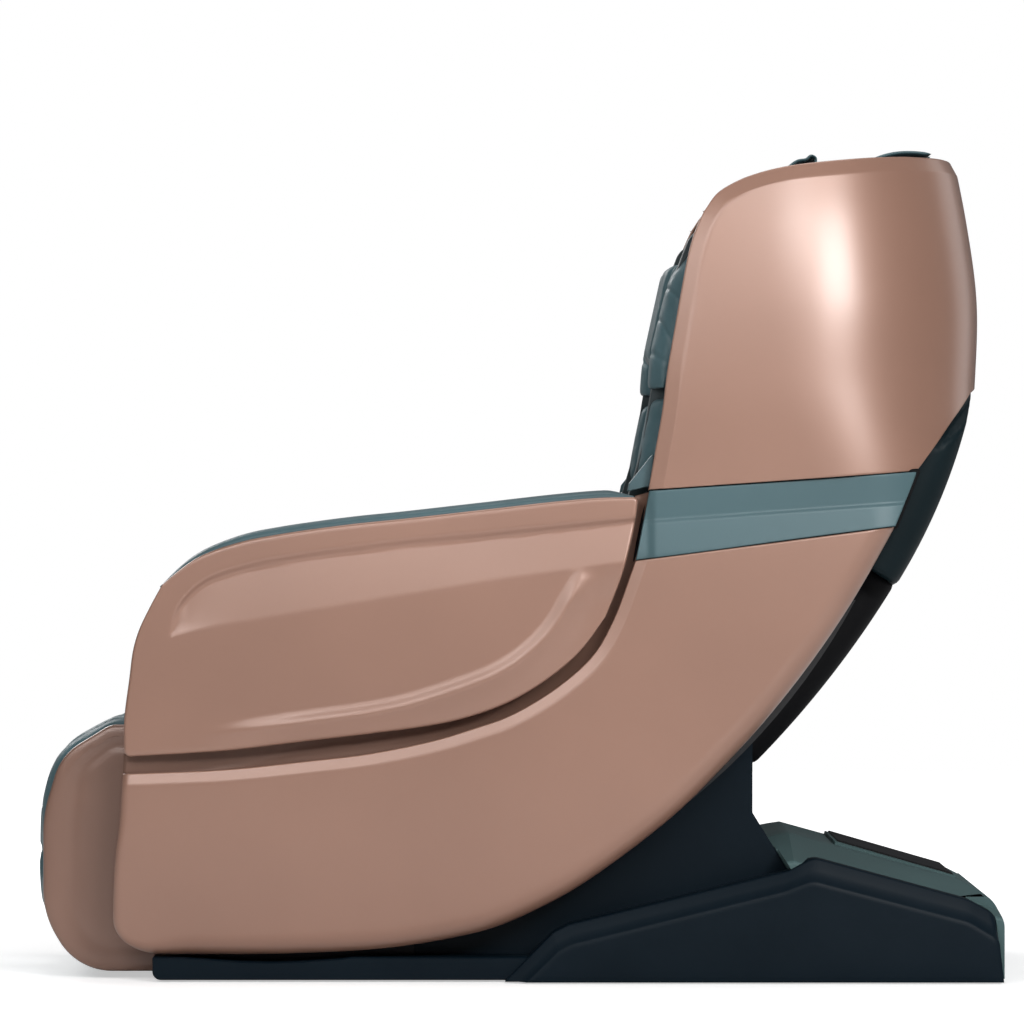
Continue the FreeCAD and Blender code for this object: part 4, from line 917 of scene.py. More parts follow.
LEG_EDGE = [(-513, 366, 26), (-588, 366, 38), (-660, 322, 84), (-686, 236, 190), (-686, 92, 130),
            (-637, 9, 90), (-513, 9, 12)]
LEG_FIELD = [(-513, 335, 20), (-585, 335, 30), (-632, 298, 60), (-641, 236, 150), (-641, 95, 80),
             (-612, 48, 48), (-513, 48, 12)]
LEG_RIM = [(0.0, 238), (0.0, 243.5), (0.6, 246), (2.0, 248), (4.5, 249.3), (9.0, 250.2), (16.0, 250.8)]
LEG_DISH = [(-10.0, 250.4), (-5.0, 249.9), (0.0, 249.9), (4.0, 250.5), (9.0, 251.6), (14.0, 252.2),
            (20.0, 252.4)]


def make_leg_cheeks(s):
    """The copper cheeks of the leg pod: a soft rim, a shallow groove and a raised field, in copper painted
    darker as shade.
    """
    edge = inset(LEG_EDGE, 1.0)
    rings = [(inset(edge, amount) if amount else edge, y) for amount, y in LEG_RIM]
    rings += [(between(inset(edge, 16.0), inset(LEG_FIELD, -14.0), f), 250.8 - 0.2 * f) for f in (0.5, 0.95)]
    rings += [(inset(LEG_FIELD, amount), y) for amount, y in LEG_DISH]
    right = plate_of_rings("leg_cheek_right", rings, "copper_shade", corner_points=14, angle=50.0)
    left = mirror_copy(right, "leg_cheek_left")
    place(right, "leg_pod", "leg_panel_right")
    place(left, "leg_pod", "leg_panel_left")


# Upholstery

def evaluated_mesh(piece):
    """The mesh that a piece's modifiers make."""
    bpy.context.view_layer.update()
    graph = bpy.context.evaluated_depsgraph_get()
    return bpy.data.meshes.new_from_object(piece.evaluated_get(graph))


def baked(piece):
    """Replaces a piece's mesh by what its modifiers make of it."""
    mesh = evaluated_mesh(piece)
    piece.modifiers.clear()
    piece.data = mesh
    return piece


def coordinates_of(mesh):
    co = np.zeros(len(mesh.vertices) * 3)
    mesh.vertices.foreach_get("co", co)
    return co.reshape(-1, 3)


CLOTH_FRAMES = 20


def inflated(piece, pressure, cap):
    """Swells a closed pad like stuffed leather, no point moving further than the cap."""
    rest = coordinates_of(piece.data)
    cloth = piece.modifiers.new("Stuffing", "CLOTH")
    cloth.settings.use_pressure = True
    cloth.settings.uniform_pressure_force = pressure
    cloth.settings.effector_weights.gravity = 0.0
    cloth.settings.quality = 4
    cloth.point_cache.frame_start = 1
    cloth.point_cache.frame_end = CLOTH_FRAMES
    scene = bpy.context.scene
    for number in range(1, CLOTH_FRAMES + 1):
        scene.frame_set(number)
    mesh = evaluated_mesh(piece)
    moved = coordinates_of(mesh)
    piece.modifiers.clear()
    scene.frame_set(1)
    shift = moved - rest
    size = np.linalg.norm(shift, axis=1, keepdims=True)
    shift *= np.minimum(1.0, cap / np.maximum(size, 1e-9))
    mesh.vertices.foreach_set("co", (rest + shift).ravel())
    mesh.update()
    piece.data = mesh
    return piece


def pad_from(name, node, voxel=0.006, ease=12, pressure=4.0, cap=0.006, shrink=0.003, side=0):
    """A stuffed pad grown from a soft solid's space. A side of 1 or -1 keeps only that half of a pair."""
    mesh = NODES[node].data.copy()
    mesh.name = name
    mesh.materials.clear()
    work = bmesh.new()
    work.from_mesh(mesh)
    if side:
        bmesh.ops.delete(work, geom=[v for v in work.verts if v.co.y * side < 0], context="VERTS")
    bmesh.ops.remove_doubles(work, verts=work.verts, dist=0.00005)
    bmesh.ops.recalc_face_normals(work, faces=work.faces)
    work.to_mesh(mesh)
    work.free()
    piece = bpy.data.objects.new(name, mesh)
    bpy.context.scene.collection.objects.link(piece)
    remesh = piece.modifiers.new("Even", "REMESH")
    remesh.mode = "VOXEL"
    remesh.voxel_size = voxel
    if shrink:
        tight = piece.modifiers.new("Tight", "DISPLACE")
        tight.strength = -shrink
        tight.mid_level = 0.0
    soft = piece.modifiers.new("Ease", "SMOOTH")
    soft.factor = 0.5
    soft.iterations = ease
    baked(piece)
    if pressure > 0:
        inflated(piece, pressure, cap)
    piece.data.materials.clear()
    piece.data.materials.append(finish_named("teal_leather"))
    piece.data.polygons.foreach_set("use_smooth", [True] * len(piece.data.polygons))
    return piece


def subdivided(piece, levels=1):
    """The piece with its mesh made finer."""
    fine = piece.modifiers.new("Fine", "SUBSURF")
    fine.levels = fine.render_levels = levels
    fine.uv_smooth = "NONE"
    return baked(piece)


def carved(piece, seams):
    """Draws seams into a pad: each is (distance function of the points, width, depth), in metres."""
    mesh = piece.data
    co = coordinates_of(mesh)
    normals = np.zeros(len(mesh.vertices) * 3)
    mesh.vertices.foreach_get("normal", normals)
    normals = normals.reshape(-1, 3)
    for measure, width, depth in seams:
        gap = measure(co, normals)
        co = co - normals * (depth * np.exp(-(gap / width) ** 2))[:, None]
    mesh.vertices.foreach_set("co", co.ravel())
    mesh.update()
    return piece


def snapped(piece, points, direction, lift=0.0):
    """Points dropped on to a pad's surface along a direction; misses are left out."""
    tree = BVHTree.FromPolygons([v.co.copy() for v in piece.data.vertices],
                                [tuple(p.vertices) for p in piece.data.polygons])
    found = []
    way = Vector(direction).normalized()
    for point in points:
        hit, normal, _, _ = tree.ray_cast(Vector(point) - way * 0.6, way)
        if hit is not None:
            found.append((hit + normal * lift, normal))
    return found


def stitch_tree():
    """Stitches at an even spacing along a line, each a short rounded bar of thread."""
    name = "stitch_row"
    if name in bpy.data.node_groups:
        return bpy.data.node_groups[name]
    tree = bpy.data.node_groups.new(name, "GeometryNodeTree")
    for label, kind, value in (("Geometry", "NodeSocketGeometry", None), ("Pitch", "NodeSocketFloat", 0.007),
                               ("Length", "NodeSocketFloat", 0.005), ("Thickness", "NodeSocketFloat", 0.0011),
                               ("Finish", "NodeSocketMaterial", None)):
        socket = tree.interface.new_socket(label, in_out="INPUT", socket_type=kind)
        if value is not None:
            socket.default_value = value
    tree.interface.new_socket("Geometry", in_out="OUTPUT", socket_type="NodeSocketGeometry")
    nodes, links = tree.nodes, tree.links
    source = nodes.new("NodeGroupInput")
    curve = nodes.new("GeometryNodeMeshToCurve")
    points = nodes.new("GeometryNodeCurveToPoints")
    points.mode = "LENGTH"
    bar = nodes.new("GeometryNodeMeshCylinder")
    bar.inputs["Vertices"].default_value = 6
    place_on = nodes.new("GeometryNodeInstanceOnPoints")
    turn = nodes.new("FunctionNodeAlignRotationToVector")
    turn.axis = "Z"
    realize = nodes.new("GeometryNodeRealizeInstances")
    paint = nodes.new("GeometryNodeSetMaterial")
    output = nodes.new("NodeGroupOutput")
    links.new(source.outputs["Geometry"], curve.inputs["Mesh"])
    links.new(curve.outputs["Curve"], points.inputs["Curve"])
    links.new(source.outputs["Pitch"], points.inputs["Length"])
    links.new(source.outputs["Length"], bar.inputs["Depth"])
    links.new(source.outputs["Thickness"], bar.inputs["Radius"])
    links.new(points.outputs["Points"], place_on.inputs["Points"])
    links.new(bar.outputs["Mesh"], place_on.inputs["Instance"])
    links.new(points.outputs["Tangent"], turn.inputs["Vector"])
    links.new(turn.outputs["Rotation"], place_on.inputs["Rotation"])
    links.new(place_on.outputs["Instances"], realize.inputs["Geometry"])
    links.new(realize.outputs["Geometry"], paint.inputs["Geometry"])
    links.new(source.outputs["Finish"], paint.inputs["Material"])
    links.new(paint.outputs["Geometry"], output.inputs["Geometry"])
    return tree


def set_input(modifier, label, value):
    """Sets a named input of a geometry nodes modifier."""
    for item in modifier.node_group.interface.items_tree:
        if item.item_type == "SOCKET" and item.in_out == "INPUT" and item.name == label:
            modifier[item.identifier] = value


def stitches(name, lines, body, pitch=0.007):
    """Rows of stitches along lines of points that lie on the leather."""
    vertices, edges = [], []
    for line in lines:
        base = len(vertices)
        vertices += [tuple(p) for p in line]
        edges += [(base + k, base + k + 1) for k in range(len(line) - 1)]
    mesh = bpy.data.meshes.new(name)
    mesh.from_pydata(vertices, edges, [])
    piece = bpy.data.objects.new(name, mesh)
    bpy.context.scene.collection.objects.link(piece)
    modifier = piece.modifiers.new("Stitches", "NODES")
    modifier.node_group = stitch_tree()
    set_input(modifier, "Pitch", pitch)
    set_input(modifier, "Length", pitch * 0.66)
    set_input(modifier, "Thickness", 0.0007)
    set_input(modifier, "Finish", finish_named("thread"))
    baked(piece)
    piece.data.polygons.foreach_set("use_smooth", [True] * len(piece.data.polygons))
    place(piece, body)
    return piece


def make_armrest_upholstery(s):
    """The strips of padding on the armrests and their padded inner walls."""
    right = arm_strip("arm_pad_right")
    left = mirror_copy(right, "arm_pad_left")
    for piece in (right, left):
        place(piece, "capsule", "armrest_pads")
    for side, word in ((1, "right"), (-1, "left")):
        liner = pad_from("arm_liner_" + word, "armrest_liners", 0.007, 10, 3.0, 0.004, side=side)
        place(liner, "capsule", "armrest_liners")


STRIP_INNER = 266.0


def arm_strip(name):
    """A crowned strip of leather along the top of the armrest, tapered at both ends."""
    path = spline([(-511, 564)] + ARM_TOP[1:-1] + [(164, 692.5)], 150)
    way = np.gradient(path, axis=0)
    way /= np.linalg.norm(way, axis=1, keepdims=True)
    up = np.stack([-way[:, 1], way[:, 0]], axis=1)
    share = np.linspace(0, 1, len(path))
    height = 0.5 + 10.5 * step_between(np.minimum(share / 0.25, (1 - share) / 0.06), -0.3, 1.0)
    rounds = 36
    points = []
    for k in range(len(path)):
        for n in range(rounds):
            a = 2 * math.pi * n / rounds
            across = math.copysign(abs(math.cos(a)) ** 0.45, math.cos(a))
            rise = math.copysign(abs(math.sin(a)) ** 0.8, math.sin(a))
            lift = height[k] * rise if rise > 0 else 9.0 * rise
            outer = flank(path[k, 0], path[k, 1]) - 5.0
            middle, half = (outer + STRIP_INNER) / 2, (outer - STRIP_INNER) / 2
            x, z = path[k] + up[k] * (lift - 0.5)
            points.append((x, middle + half * across, z))
    faces = []
    for k in range(len(path) - 1):
        for n in range(rounds):
            a, b = k * rounds + n, k * rounds + (n + 1) % rounds
            faces.append((a, b, b + rounds, a + rounds))
    faces.append(tuple(range(rounds)))
    faces.append(tuple(range(len(points) - 1, len(points) - 1 - rounds, -1)))
    piece = mesh_object(name, np.array(points) * MM, faces, "teal_leather")
    turned_out(piece)
    return piece


def folded(name, profile, half, thickness, finish, round_end=0.0):
    """A strip of leather across the chair: a profile line in (x, z) given a width and a thickness."""
    line = spline(profile, 60)
    way = np.gradient(line, axis=0)
    way /= np.linalg.norm(way, axis=1, keepdims=True)
    up = np.stack([-way[:, 1], way[:, 0]], axis=1)
    across = np.linspace(-1, 1, 25)
    points, faces = [], []
    for side in (1, -1):
        for k in range(len(line)):
            share = min(k, len(line) - 1 - k) / (len(line) - 1)
            edge = min(1.0, share * 12) ** 0.5
            for v in across:
                soft = edge * math.sqrt(max(1 - abs(v) ** 8, 0.0))
                width = half - round_end * (1 - min(1.0, (k + 1) / len(line) * 3)) ** 2
                x, z = line[k] + up[k] * (side * thickness / 2 * soft)
                points.append((x, v * width, z))
    rows, columns = len(line), len(across)
    faces += grid_faces(rows, columns)
    faces += [tuple(v + rows * columns for v in face[::-1]) for face in grid_faces(rows, columns)]
    piece = mesh_object(name, np.array(points) * MM, faces, finish)
    turned_out(piece, 0.0003)
    return piece


def make_seat(s):
    """The seat cushion with side rolls and two sewn channels."""
    seat = subdivided(pad_from("seat_pad", "seat_cushion", 0.007, 10, 4.0, 0.010, 0.005))
    channels = [(lambda co, n, y=y: np.abs(co[:, 1] - y) + np.where(n[:, 2] < 0.2, 1, 0), 0.006, 0.006)
                for y in (-0.176, 0.176)]
    across = [(lambda co, n, x=x: np.abs(co[:, 0] - x)
               + np.where((n[:, 2] < 0.2) | (np.abs(co[:, 1]) > 0.17), 1, 0), 0.005, 0.004)
              for x in (-0.33, -0.19, -0.05)]
    carved(seat, channels + across)
    place(seat, "capsule", "seat_cushion")
    rows = []
    for y in (-0.182, -0.170, 0.170, 0.182):
        line = snapped(seat, [(x, y, 0.9) for x in np.linspace(-0.44, 0.07, 60)], (0, 0, -1), 0.0002)
        rows.append([p for p, _ in line])
    stitches("seat_stitches", rows, "capsule")


def away_from_sitter(co, n):
    """1 where a pad's skin doesn't face the sitter, 0 where it does."""
    return np.where(n[:, 0] > -0.3, 1, 0)


def make_back(s):
    """The back pad, dished between its rolls, and the padding over the top of the hood."""
    back = subdivided(pad_from("back_pad", "back_cushion", 0.008, 10, 4.0, 0.008, 0.005))
    lines = [(lambda co, n, y=y: np.abs(co[:, 1] - y) + away_from_sitter(co, n), 0.006, 0.006)
             for y in (-0.152, 0.152)]
    lines += [(lambda co, n, h=h: np.abs(co[:, 2] - h - 0.10 * np.abs(co[:, 1])) + away_from_sitter(co, n)
               + np.where(np.abs(co[:, 1]) > 0.15, 1, 0), 0.006, 0.005) for h in (0.55, 0.70, 0.85)]
    carved(back, lines)
    place(back, "capsule", "back_cushion")
    rows = []
    for y in (-0.158, -0.146, 0.146, 0.158):
        line = snapped(back, [(0.0, y, z) for z in np.linspace(0.45, 1.06, 70)], (1, 0, 0), 0.0002)
        rows.append([p for p, _ in line])
    stitches("back_stitches", rows, "capsule")
    top = pad_from("top_pad_leather", "top_pad", 0.007, 10, 3.0, 0.003, 0.003)
    co = coordinates_of(top.data)
    room = hood_room(co[:, 0] / MM, co[:, 2] / MM, 6.0) * MM
    co[:, 1] = np.clip(co[:, 1], -room, room)
    top.data.vertices.foreach_set("co", co.ravel())
    top.data.update()
    place(top, "capsule", "top_pad")


# Height and slope of each pleat of the shoulder pads
PLEATS = [(0.892, 0.6), (0.948, 1.8), (1.004, 1.0)]


def make_head_pads(s):
    """The shoulder and flank pads at each side, the pillow and its weighted strap."""
    for side, word in ((1, "right"), (-1, "left")):
        shoulder = pad_from("shoulder_" + word, "shoulder_pads", 0.006, 8, 4.0, 0.006, 0.003, side)
        shoulder = subdivided(shoulder)
        pleats = [(lambda co, n, h=h, f=f: np.abs(co[:, 2] - h + f * (co[:, 0] - 0.2))
                   + np.where(n[:, 0] > 0.4, 1, 0), 0.004, 0.0016) for h, f in PLEATS]
        carved(shoulder, pleats)
        flank_pad = pad_from("flank_pad_" + word, "flank_pads", 0.005, 8, 4.0, 0.005, 0.003, side)
        for piece, node in ((shoulder, "shoulder_pads"), (flank_pad, "flank_pads")):
            place(piece, "capsule", node)
    pillow = subdivided(pad_from("pillow", "head_pillow", 0.006, 8, 4.0, 0.008, 0.003))
    edge = [(lambda co, n: np.abs(np.abs(co[:, 1]) - 0.128) + np.where(n[:, 0] > 0, 1, 0), 0.004, 0.004)]
    carved(pillow, edge)
    place(pillow, "pillow", "head_pillow")
    make_strap()
    make_pad_walls()


STRAP_PATH = [(250, 1043), (256, 1062), (265, 1083), (276, 1107), (290, 1134), (316, 1148.5), (350, 1158.5),
              (440, 1163.5), (592, 1170.5)]
FRONT_FOLD = [(386, 1167), (397, 1177), (408, 1184.5), (421, 1187), (428, 1192), (434.5, 1188), (432.5, 1178),
              (429, 1166)]
REAR_FOLD = [(500, 1169), (510, 1181), (524, 1188), (539, 1193), (556, 1196), (577, 1196.5), (603, 1194)]
REAR_UNDER = [(602, 1190.5), (588, 1184), (575, 1179), (558, 1171)]
PAD_WALL = [(152, 680, 2), (176, 762, 300), (187, 831, 300), (199, 905, 300), (219, 1000, 200),
            (243, 1064, 30), (262, 1080, 4), (246, 940, 100), (222, 800, 100), (204, 680, 2)]
GUSSET = [(154.5, 700, 1), (157, 712, 2), (193, 757, 2), (190, 708, 1)]


def make_pad_walls():
    """The leather wall behind the side pads, near black as painted shade, and the sewn corner above the
    armrest.
    """
    layers = [(1.5, 262), (0, 264), (0, 293), (1.5, 296)]
    # The wall's near-black leather is painted shade.
    wall = stacked_plate("pad_wall_right", PAD_WALL, layers, "leather_black")
    layers = [(1.0, 318), (0, 319), (0, 328), (1.2, 330)]
    corner = stacked_plate("gusset_right", GUSSET, layers, "teal_leather")
    for piece in (wall, corner):
        place(mirror_copy(piece, piece.name.replace("right", "left")), "capsule")
        place(piece, "capsule")


def make_strap():
    """The weighted strap over the top pad: a flat band and two folded flaps of thick leather, the rear flap's
    underside painted darker as shade.
    """
    band = folded("strap", STRAP_PATH, 105, 3.4, "teal_leather")
    front = folded("strap_front_fold", FRONT_FOLD, 116, 5.0, "teal_leather")
    rear = folded("strap_rear_fold", REAR_FOLD, 116, 6.5, "teal_leather")
    # The rear flap's underside in darker leather: painted shade.
    under = folded("strap_rear_lining", REAR_UNDER, 112, 4.0, "teal_leather_dark")
    for piece in (band, front, rear, under):
        place(piece, "capsule", "pillow_strap")


def make_leg_upholstery(s):
    """The pod's padding with two calf wells."""
    pad = pad_from("leg_padding", "leg_cushion", 0.006, 8, 4.0, 0.006, 0.0)
    edge = [(lambda co, n: np.abs(np.abs(co[:, 1]) - 0.206) + np.where(n[:, 0] > -0.4, 1, 0), 0.004, 0.003)]
    carved(pad, edge)
    place(pad, "leg_pod", "leg_cushion")


# Solids carried over

SOLID_FINISHES = {
    "black_paint": ("base_frame", "base_pan", "tower_plates", "side_plates", "capsule_frame", "leg_frame"),
    "navy_plastic": ("tower_covers",),
    "lid_plastic": ("rear_top_cover",),
    "steel": ("arc_rails", "track_rails", "actuator_rod", "walking_axle", "guide_axle", "kneading_shaft"),
    "motor_paint": ("actuator_housing", "air_pump", "leg_motor", "carriage_frame", "massage_arm_left",
                    "massage_arm_right"),
    "black_plastic": ("power_supply", "inlet_socket", "rocker_switch", "control_panel", "leg_shell"),
    "grey_plastic": ("button_power", "button_recline", "button_raise"),
    "roller_plastic": ("guide_rollers_front", "guide_rollers_rear", "foot_rollers",
                       "massage_roller_left_upper", "massage_roller_left_lower",
                       "massage_roller_right_upper", "massage_roller_right_lower"),
    "rubber": ("transport_wheels", "rubber_feet"),
}


def paint_solids(s):
    """Gives the solids that no piece replaces their finishes."""
    for finish, names in SOLID_FINISHES.items():
        for name in names:
            materials = NODES[name].data.materials
            materials.clear()
            materials.append(finish_named(finish))


# Stage

# Name, place, target, size of the face and power
LAMPS = [
    ("key", (-2.4, -3.6, 2.9), (0.0, 0, 0.55), (2.2, 1.6), 33),
    ("far_key", (-2.4, 3.6, 2.9), (0.0, 0, 0.55), (2.2, 1.6), 60),
    ("edge", (-0.2, -3.6, 2.9), (0, 0, 0.6), (3.2, 0.6), 27),
    ("facet", (-0.9, -3.9, 1.75), (-0.1, -0.3, 0.6), (1.8, 0.4), 12),
    ("streak", (1.95, -3.55, 2.0), (0.45, -0.35, 1.1), (1.0, 0.6), 62),
    ("crown", (1.0, -3.8, 2.3), (0.42, -0.34, 1.12), (0.7, 0.4), 20),
    ("overhead", (0.2, 0.2, 3.4), (0.1, 0, 0.5), (2.4, 1.4), 26),
    ("rim", (2.8, 1.2, 1.6), (0.4, 0, 0.6), (1.2, 2.2), 8),
]
CAMERA_X, CAMERA_HEIGHT, NEAR_SIDE_Y = -0.0097, 0.671, -0.372


def area_light(name, place_at, target, size, power):
    """A soft rectangular lamp, turned to face its target."""
    light = bpy.data.lights.new(name, "AREA")
    light.shape = "RECTANGLE"
    light.size, light.size_y = size
    light.energy = power
    lamp = bpy.data.objects.new(name, light)
    lamp.location = place_at
    lamp.rotation_euler = (Vector(target) - Vector(place_at)).to_track_quat("-Z", "Y").to_euler()
    bpy.context.scene.collection.objects.link(lamp)


def white_to_camera(material, shader):
    """The floor fades to white away from the chair, to the camera alone."""
    path = add_node(material, "ShaderNodeLightPath")
    place_at = add_node(material, "ShaderNodeTexCoord")
    far = add_node(material, "ShaderNodeVectorMath", {0: place_at.outputs["Object"]}, operation="LENGTH")
    fade = {"Value": far.outputs["Value"], "From Min": 0.9, "From Max": 2.4, "To Min": 0.5, "To Max": 1.0}
    glow = add_node(material, "ShaderNodeMapRange", fade, interpolation_type="SMOOTHSTEP")
    both = {0: path.outputs["Is Camera Ray"], 1: glow.outputs["Result"]}
    strength = add_node(material, "ShaderNodeMath", both, operation="MULTIPLY")
    shader.inputs["Base Color"].default_value = (0.86, 0.86, 0.86, 1)
    shader.inputs["Roughness"].default_value = 0.9
    shader.inputs["Emission Color"].default_value = (1, 1, 1, 1)
    material.node_tree.links.new(strength.outputs[0], shader.inputs["Emission Strength"])


def make_stage(s):
    """A pale floor and backdrop, soft studio light and the camera of the reference view."""
    scene = bpy.context.scene
    scene.view_settings.view_transform = "Standard"
    floor = bpy.data.meshes.new("floor")
    floor.from_pydata([(-9, -12, 0), (9, -12, 0), (9, 7, 0), (-9, 7, 0)], [], [(0, 1, 2, 3)])
    stage = bpy.data.objects.new("floor", floor)
    scene.collection.objects.link(stage)
    material, shader = new_material("floor_paper")
    white_to_camera(material, shader)
    floor.materials.append(material)
    world = bpy.data.worlds.new("studio")
    scene.world = world
    world.use_nodes = True
    nodes, links = world.node_tree.nodes, world.node_tree.links
    nodes.clear()
    background = nodes.new("ShaderNodeBackground")
    white = nodes.new("ShaderNodeBackground")
    white.inputs["Color"].default_value = (1, 1, 1, 1)
    white.inputs["Strength"].default_value = 1.0
    background.inputs["Color"].default_value = (0.92, 0.95, 1.0, 1)
    background.inputs["Strength"].default_value = s.world_light
    path = nodes.new("ShaderNodeLightPath")
    mix = nodes.new("ShaderNodeMixShader")
    output = nodes.new("ShaderNodeOutputWorld")
    links.new(path.outputs["Is Camera Ray"], mix.inputs["Fac"])
    links.new(background.outputs["Background"], mix.inputs[1])
    links.new(white.outputs["Background"], mix.inputs[2])
    links.new(mix.outputs["Shader"], output.inputs["Surface"])
    for name, place_at, target, size, power in LAMPS:
        area_light(name, place_at, target, size, power * s.lamp_power)
    camera = bpy.data.cameras.new("camera")
    camera.sensor_width = 36.0
    camera.lens = s.camera_lens
    camera.clip_end = 60.0
    viewer = bpy.data.objects.new("camera", camera)
    viewer.location = (CAMERA_X, NEAR_SIDE_Y - s.camera_distance, CAMERA_HEIGHT)
    viewer.rotation_euler = (math.pi / 2, 0, 0)
    scene.collection.objects.link(viewer)
    scene.camera = viewer


# Add-on

class ChairSettings(bpy.types.PropertyGroup):
    """What a user would change about the chair's looks."""
    shell_color: bpy.props.FloatVectorProperty(
        name="Shell colour", description="Metallic paint of the shells",
        subtype="COLOR", size=3, min=0, max=1, default=(0.345, 0.188, 0.134))
    band_color: bpy.props.FloatVectorProperty(
        name="Band colour", description="Paint of the bands between the shells",
        subtype="COLOR", size=3, min=0, max=1, default=(0.068, 0.130, 0.146))
    leather_color: bpy.props.FloatVectorProperty(
        name="Leather colour", description="Colour of the upholstery",
        subtype="COLOR", size=3, min=0, max=1, default=(0.062, 0.120, 0.136))
    cover_color: bpy.props.FloatVectorProperty(
        name="Cover colour", description="Colour of the base covers",
        subtype="COLOR", size=3, min=0, max=1, default=(0.0032, 0.0088, 0.0145))
    relief_depth: bpy.props.FloatProperty(
        name="Relief depth", description="Depth of the field pressed into the armrest panels", unit="LENGTH",
        default=0.007, min=0.0, max=0.02)
    mesh_step: bpy.props.FloatProperty(
        name="Mesh step", description="Spacing of the points on the moulded shells", unit="LENGTH",
        default=0.005, min=0.002, max=0.02)
    lamp_power: bpy.props.FloatProperty(
        name="Lamp power", description="Strength of all the studio lamps together",
        default=1.0, min=0.0, max=5.0)
    world_light: bpy.props.FloatProperty(
        name="Room light", description="Strength of the light from all round", default=0.11, min=0.0, max=3.0)
    camera_distance: bpy.props.FloatProperty(
        name="Camera distance", description="From the camera to the chair's near side", unit="LENGTH",
        default=9.0, min=1.0, max=50.0)
    camera_lens: bpy.props.FloatProperty(
        name="Lens", description="Focal length in millimetres", default=222.8, min=20.0, max=600.0)


class CHAIR_OT_paint_solids(bpy.types.Operator):
    """Gives the frame, the rails and the drives their finishes"""
    bl_idname = "chair.paint_solids"
    bl_label = "Finish the frame"

    def execute(self, context):
        paint_solids(context.scene.massage_chair)
        return {"FINISHED"}


class CHAIR_OT_flank_shells(bpy.types.Operator):
    """Makes the copper crescents and the hollow above them"""
    bl_idname = "chair.flank_shells"
    bl_label = "Flank shells"

    def execute(self, context):
        make_flank_shells(context.scene.massage_chair)
        return {"FINISHED"}


class CHAIR_OT_armrest_panels(bpy.types.Operator):
    """Makes the copper armrest panels"""
    bl_idname = "chair.armrest_panels"
    bl_label = "Armrest panels"

    def execute(self, context):
        make_armrest_panels(context.scene.massage_chair)
        return {"FINISHED"}


class CHAIR_OT_head_shell(bpy.types.Operator):
    """Makes the copper hood"""
    bl_idname = "chair.head_shell"
    bl_label = "Head shell"

    def execute(self, context):
        make_head_shell(context.scene.massage_chair)
        return {"FINISHED"}


class CHAIR_OT_bands(bpy.types.Operator):
    """Makes the teal bands between the crescents and the hood"""
    bl_idname = "chair.bands"
    bl_label = "Trim bands"

    def execute(self, context):
        make_bands(context.scene.massage_chair)
        return {"FINISHED"}


class CHAIR_OT_spine(bpy.types.Operator):
    """Makes the two dark covers of the back"""
    bl_idname = "chair.spine"
    bl_label = "Spine covers"

    def execute(self, context):
        make_spine(context.scene.massage_chair)
        return {"FINISHED"}


class CHAIR_OT_base_covers(bpy.types.Operator):
    """Makes the base's side and rail covers and the hatch in its lid"""
    bl_idname = "chair.base_covers"
    bl_label = "Base covers"

    def execute(self, context):
        make_base_covers(context.scene.massage_chair)
        return {"FINISHED"}


class CHAIR_OT_leg_cheeks(bpy.types.Operator):
    """Makes the copper cheeks of the leg pod"""
    bl_idname = "chair.leg_cheeks"
    bl_label = "Leg cheeks"

    def execute(self, context):
        make_leg_cheeks(context.scene.massage_chair)
        return {"FINISHED"}


class CHAIR_OT_armrest_upholstery(bpy.types.Operator):
    """Makes the padding of the armrests"""
    bl_idname = "chair.armrest_upholstery"
    bl_label = "Armrest upholstery"

    def execute(self, context):
        make_armrest_upholstery(context.scene.massage_chair)
        return {"FINISHED"}


class CHAIR_OT_seat(bpy.types.Operator):
    """Makes the seat cushion and its stitches"""
    bl_idname = "chair.seat"
    bl_label = "Seat"

    def execute(self, context):
        make_seat(context.scene.massage_chair)
        return {"FINISHED"}


class CHAIR_OT_back(bpy.types.Operator):
    """Makes the back pad and the padding over the top of the hood"""
    bl_idname = "chair.back"
    bl_label = "Back"

    def execute(self, context):
        make_back(context.scene.massage_chair)
        return {"FINISHED"}


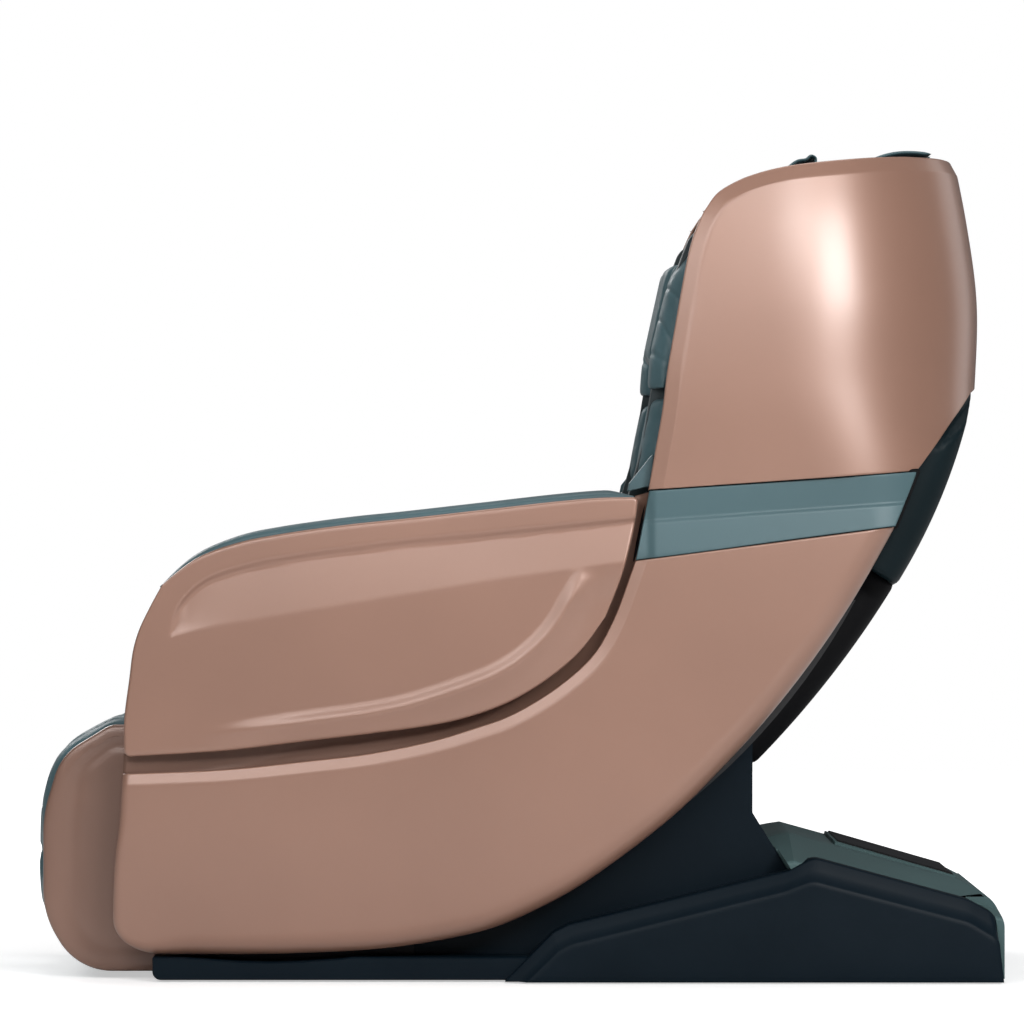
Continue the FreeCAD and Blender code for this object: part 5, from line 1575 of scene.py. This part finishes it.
class CHAIR_OT_head_pads(bpy.types.Operator):
    """Makes the shoulder and flank pads, the pillow and its strap"""
    bl_idname = "chair.head_pads"
    bl_label = "Head pads"

    def execute(self, context):
        make_head_pads(context.scene.massage_chair)
        return {"FINISHED"}


class CHAIR_OT_leg_upholstery(bpy.types.Operator):
    """Makes the padding of the leg pod"""
    bl_idname = "chair.leg_upholstery"
    bl_label = "Leg upholstery"

    def execute(self, context):
        make_leg_upholstery(context.scene.massage_chair)
        return {"FINISHED"}


class CHAIR_OT_stage(bpy.types.Operator):
    """Makes the floor, the lamps and the camera"""
    bl_idname = "chair.stage"
    bl_label = "Stage"

    def execute(self, context):
        make_stage(context.scene.massage_chair)
        return {"FINISHED"}


OPERATORS = [CHAIR_OT_paint_solids, CHAIR_OT_flank_shells, CHAIR_OT_armrest_panels, CHAIR_OT_head_shell,
             CHAIR_OT_bands, CHAIR_OT_spine, CHAIR_OT_base_covers, CHAIR_OT_leg_cheeks,
             CHAIR_OT_armrest_upholstery, CHAIR_OT_seat, CHAIR_OT_back, CHAIR_OT_head_pads,
             CHAIR_OT_leg_upholstery, CHAIR_OT_stage]


class CHAIR_PT_panel(bpy.types.Panel):
    """Lists the chair's settings and pieces."""
    bl_idname = "CHAIR_PT_panel"
    bl_label = "Massage Chair"
    bl_space_type = "VIEW_3D"
    bl_region_type = "UI"
    bl_category = "Chair"

    def draw(self, context):
        settings = context.scene.massage_chair
        for name in ChairSettings.__annotations__:
            self.layout.prop(settings, name)
        for item in OPERATORS:
            self.layout.operator(item.bl_idname)


CLASSES = [ChairSettings] + OPERATORS + [CHAIR_PT_panel]


def register():
    for item in CLASSES:
        bpy.utils.register_class(item)
    bpy.types.Scene.massage_chair = bpy.props.PointerProperty(type=ChairSettings)


def unregister():
    del bpy.types.Scene.massage_chair
    for item in reversed(CLASSES):
        bpy.utils.unregister_class(item)


def main():
    register()
    for item in OPERATORS:
        getattr(bpy.ops.chair, item.bl_idname.split(".")[1])()


if __name__ == "__main__":
    main()
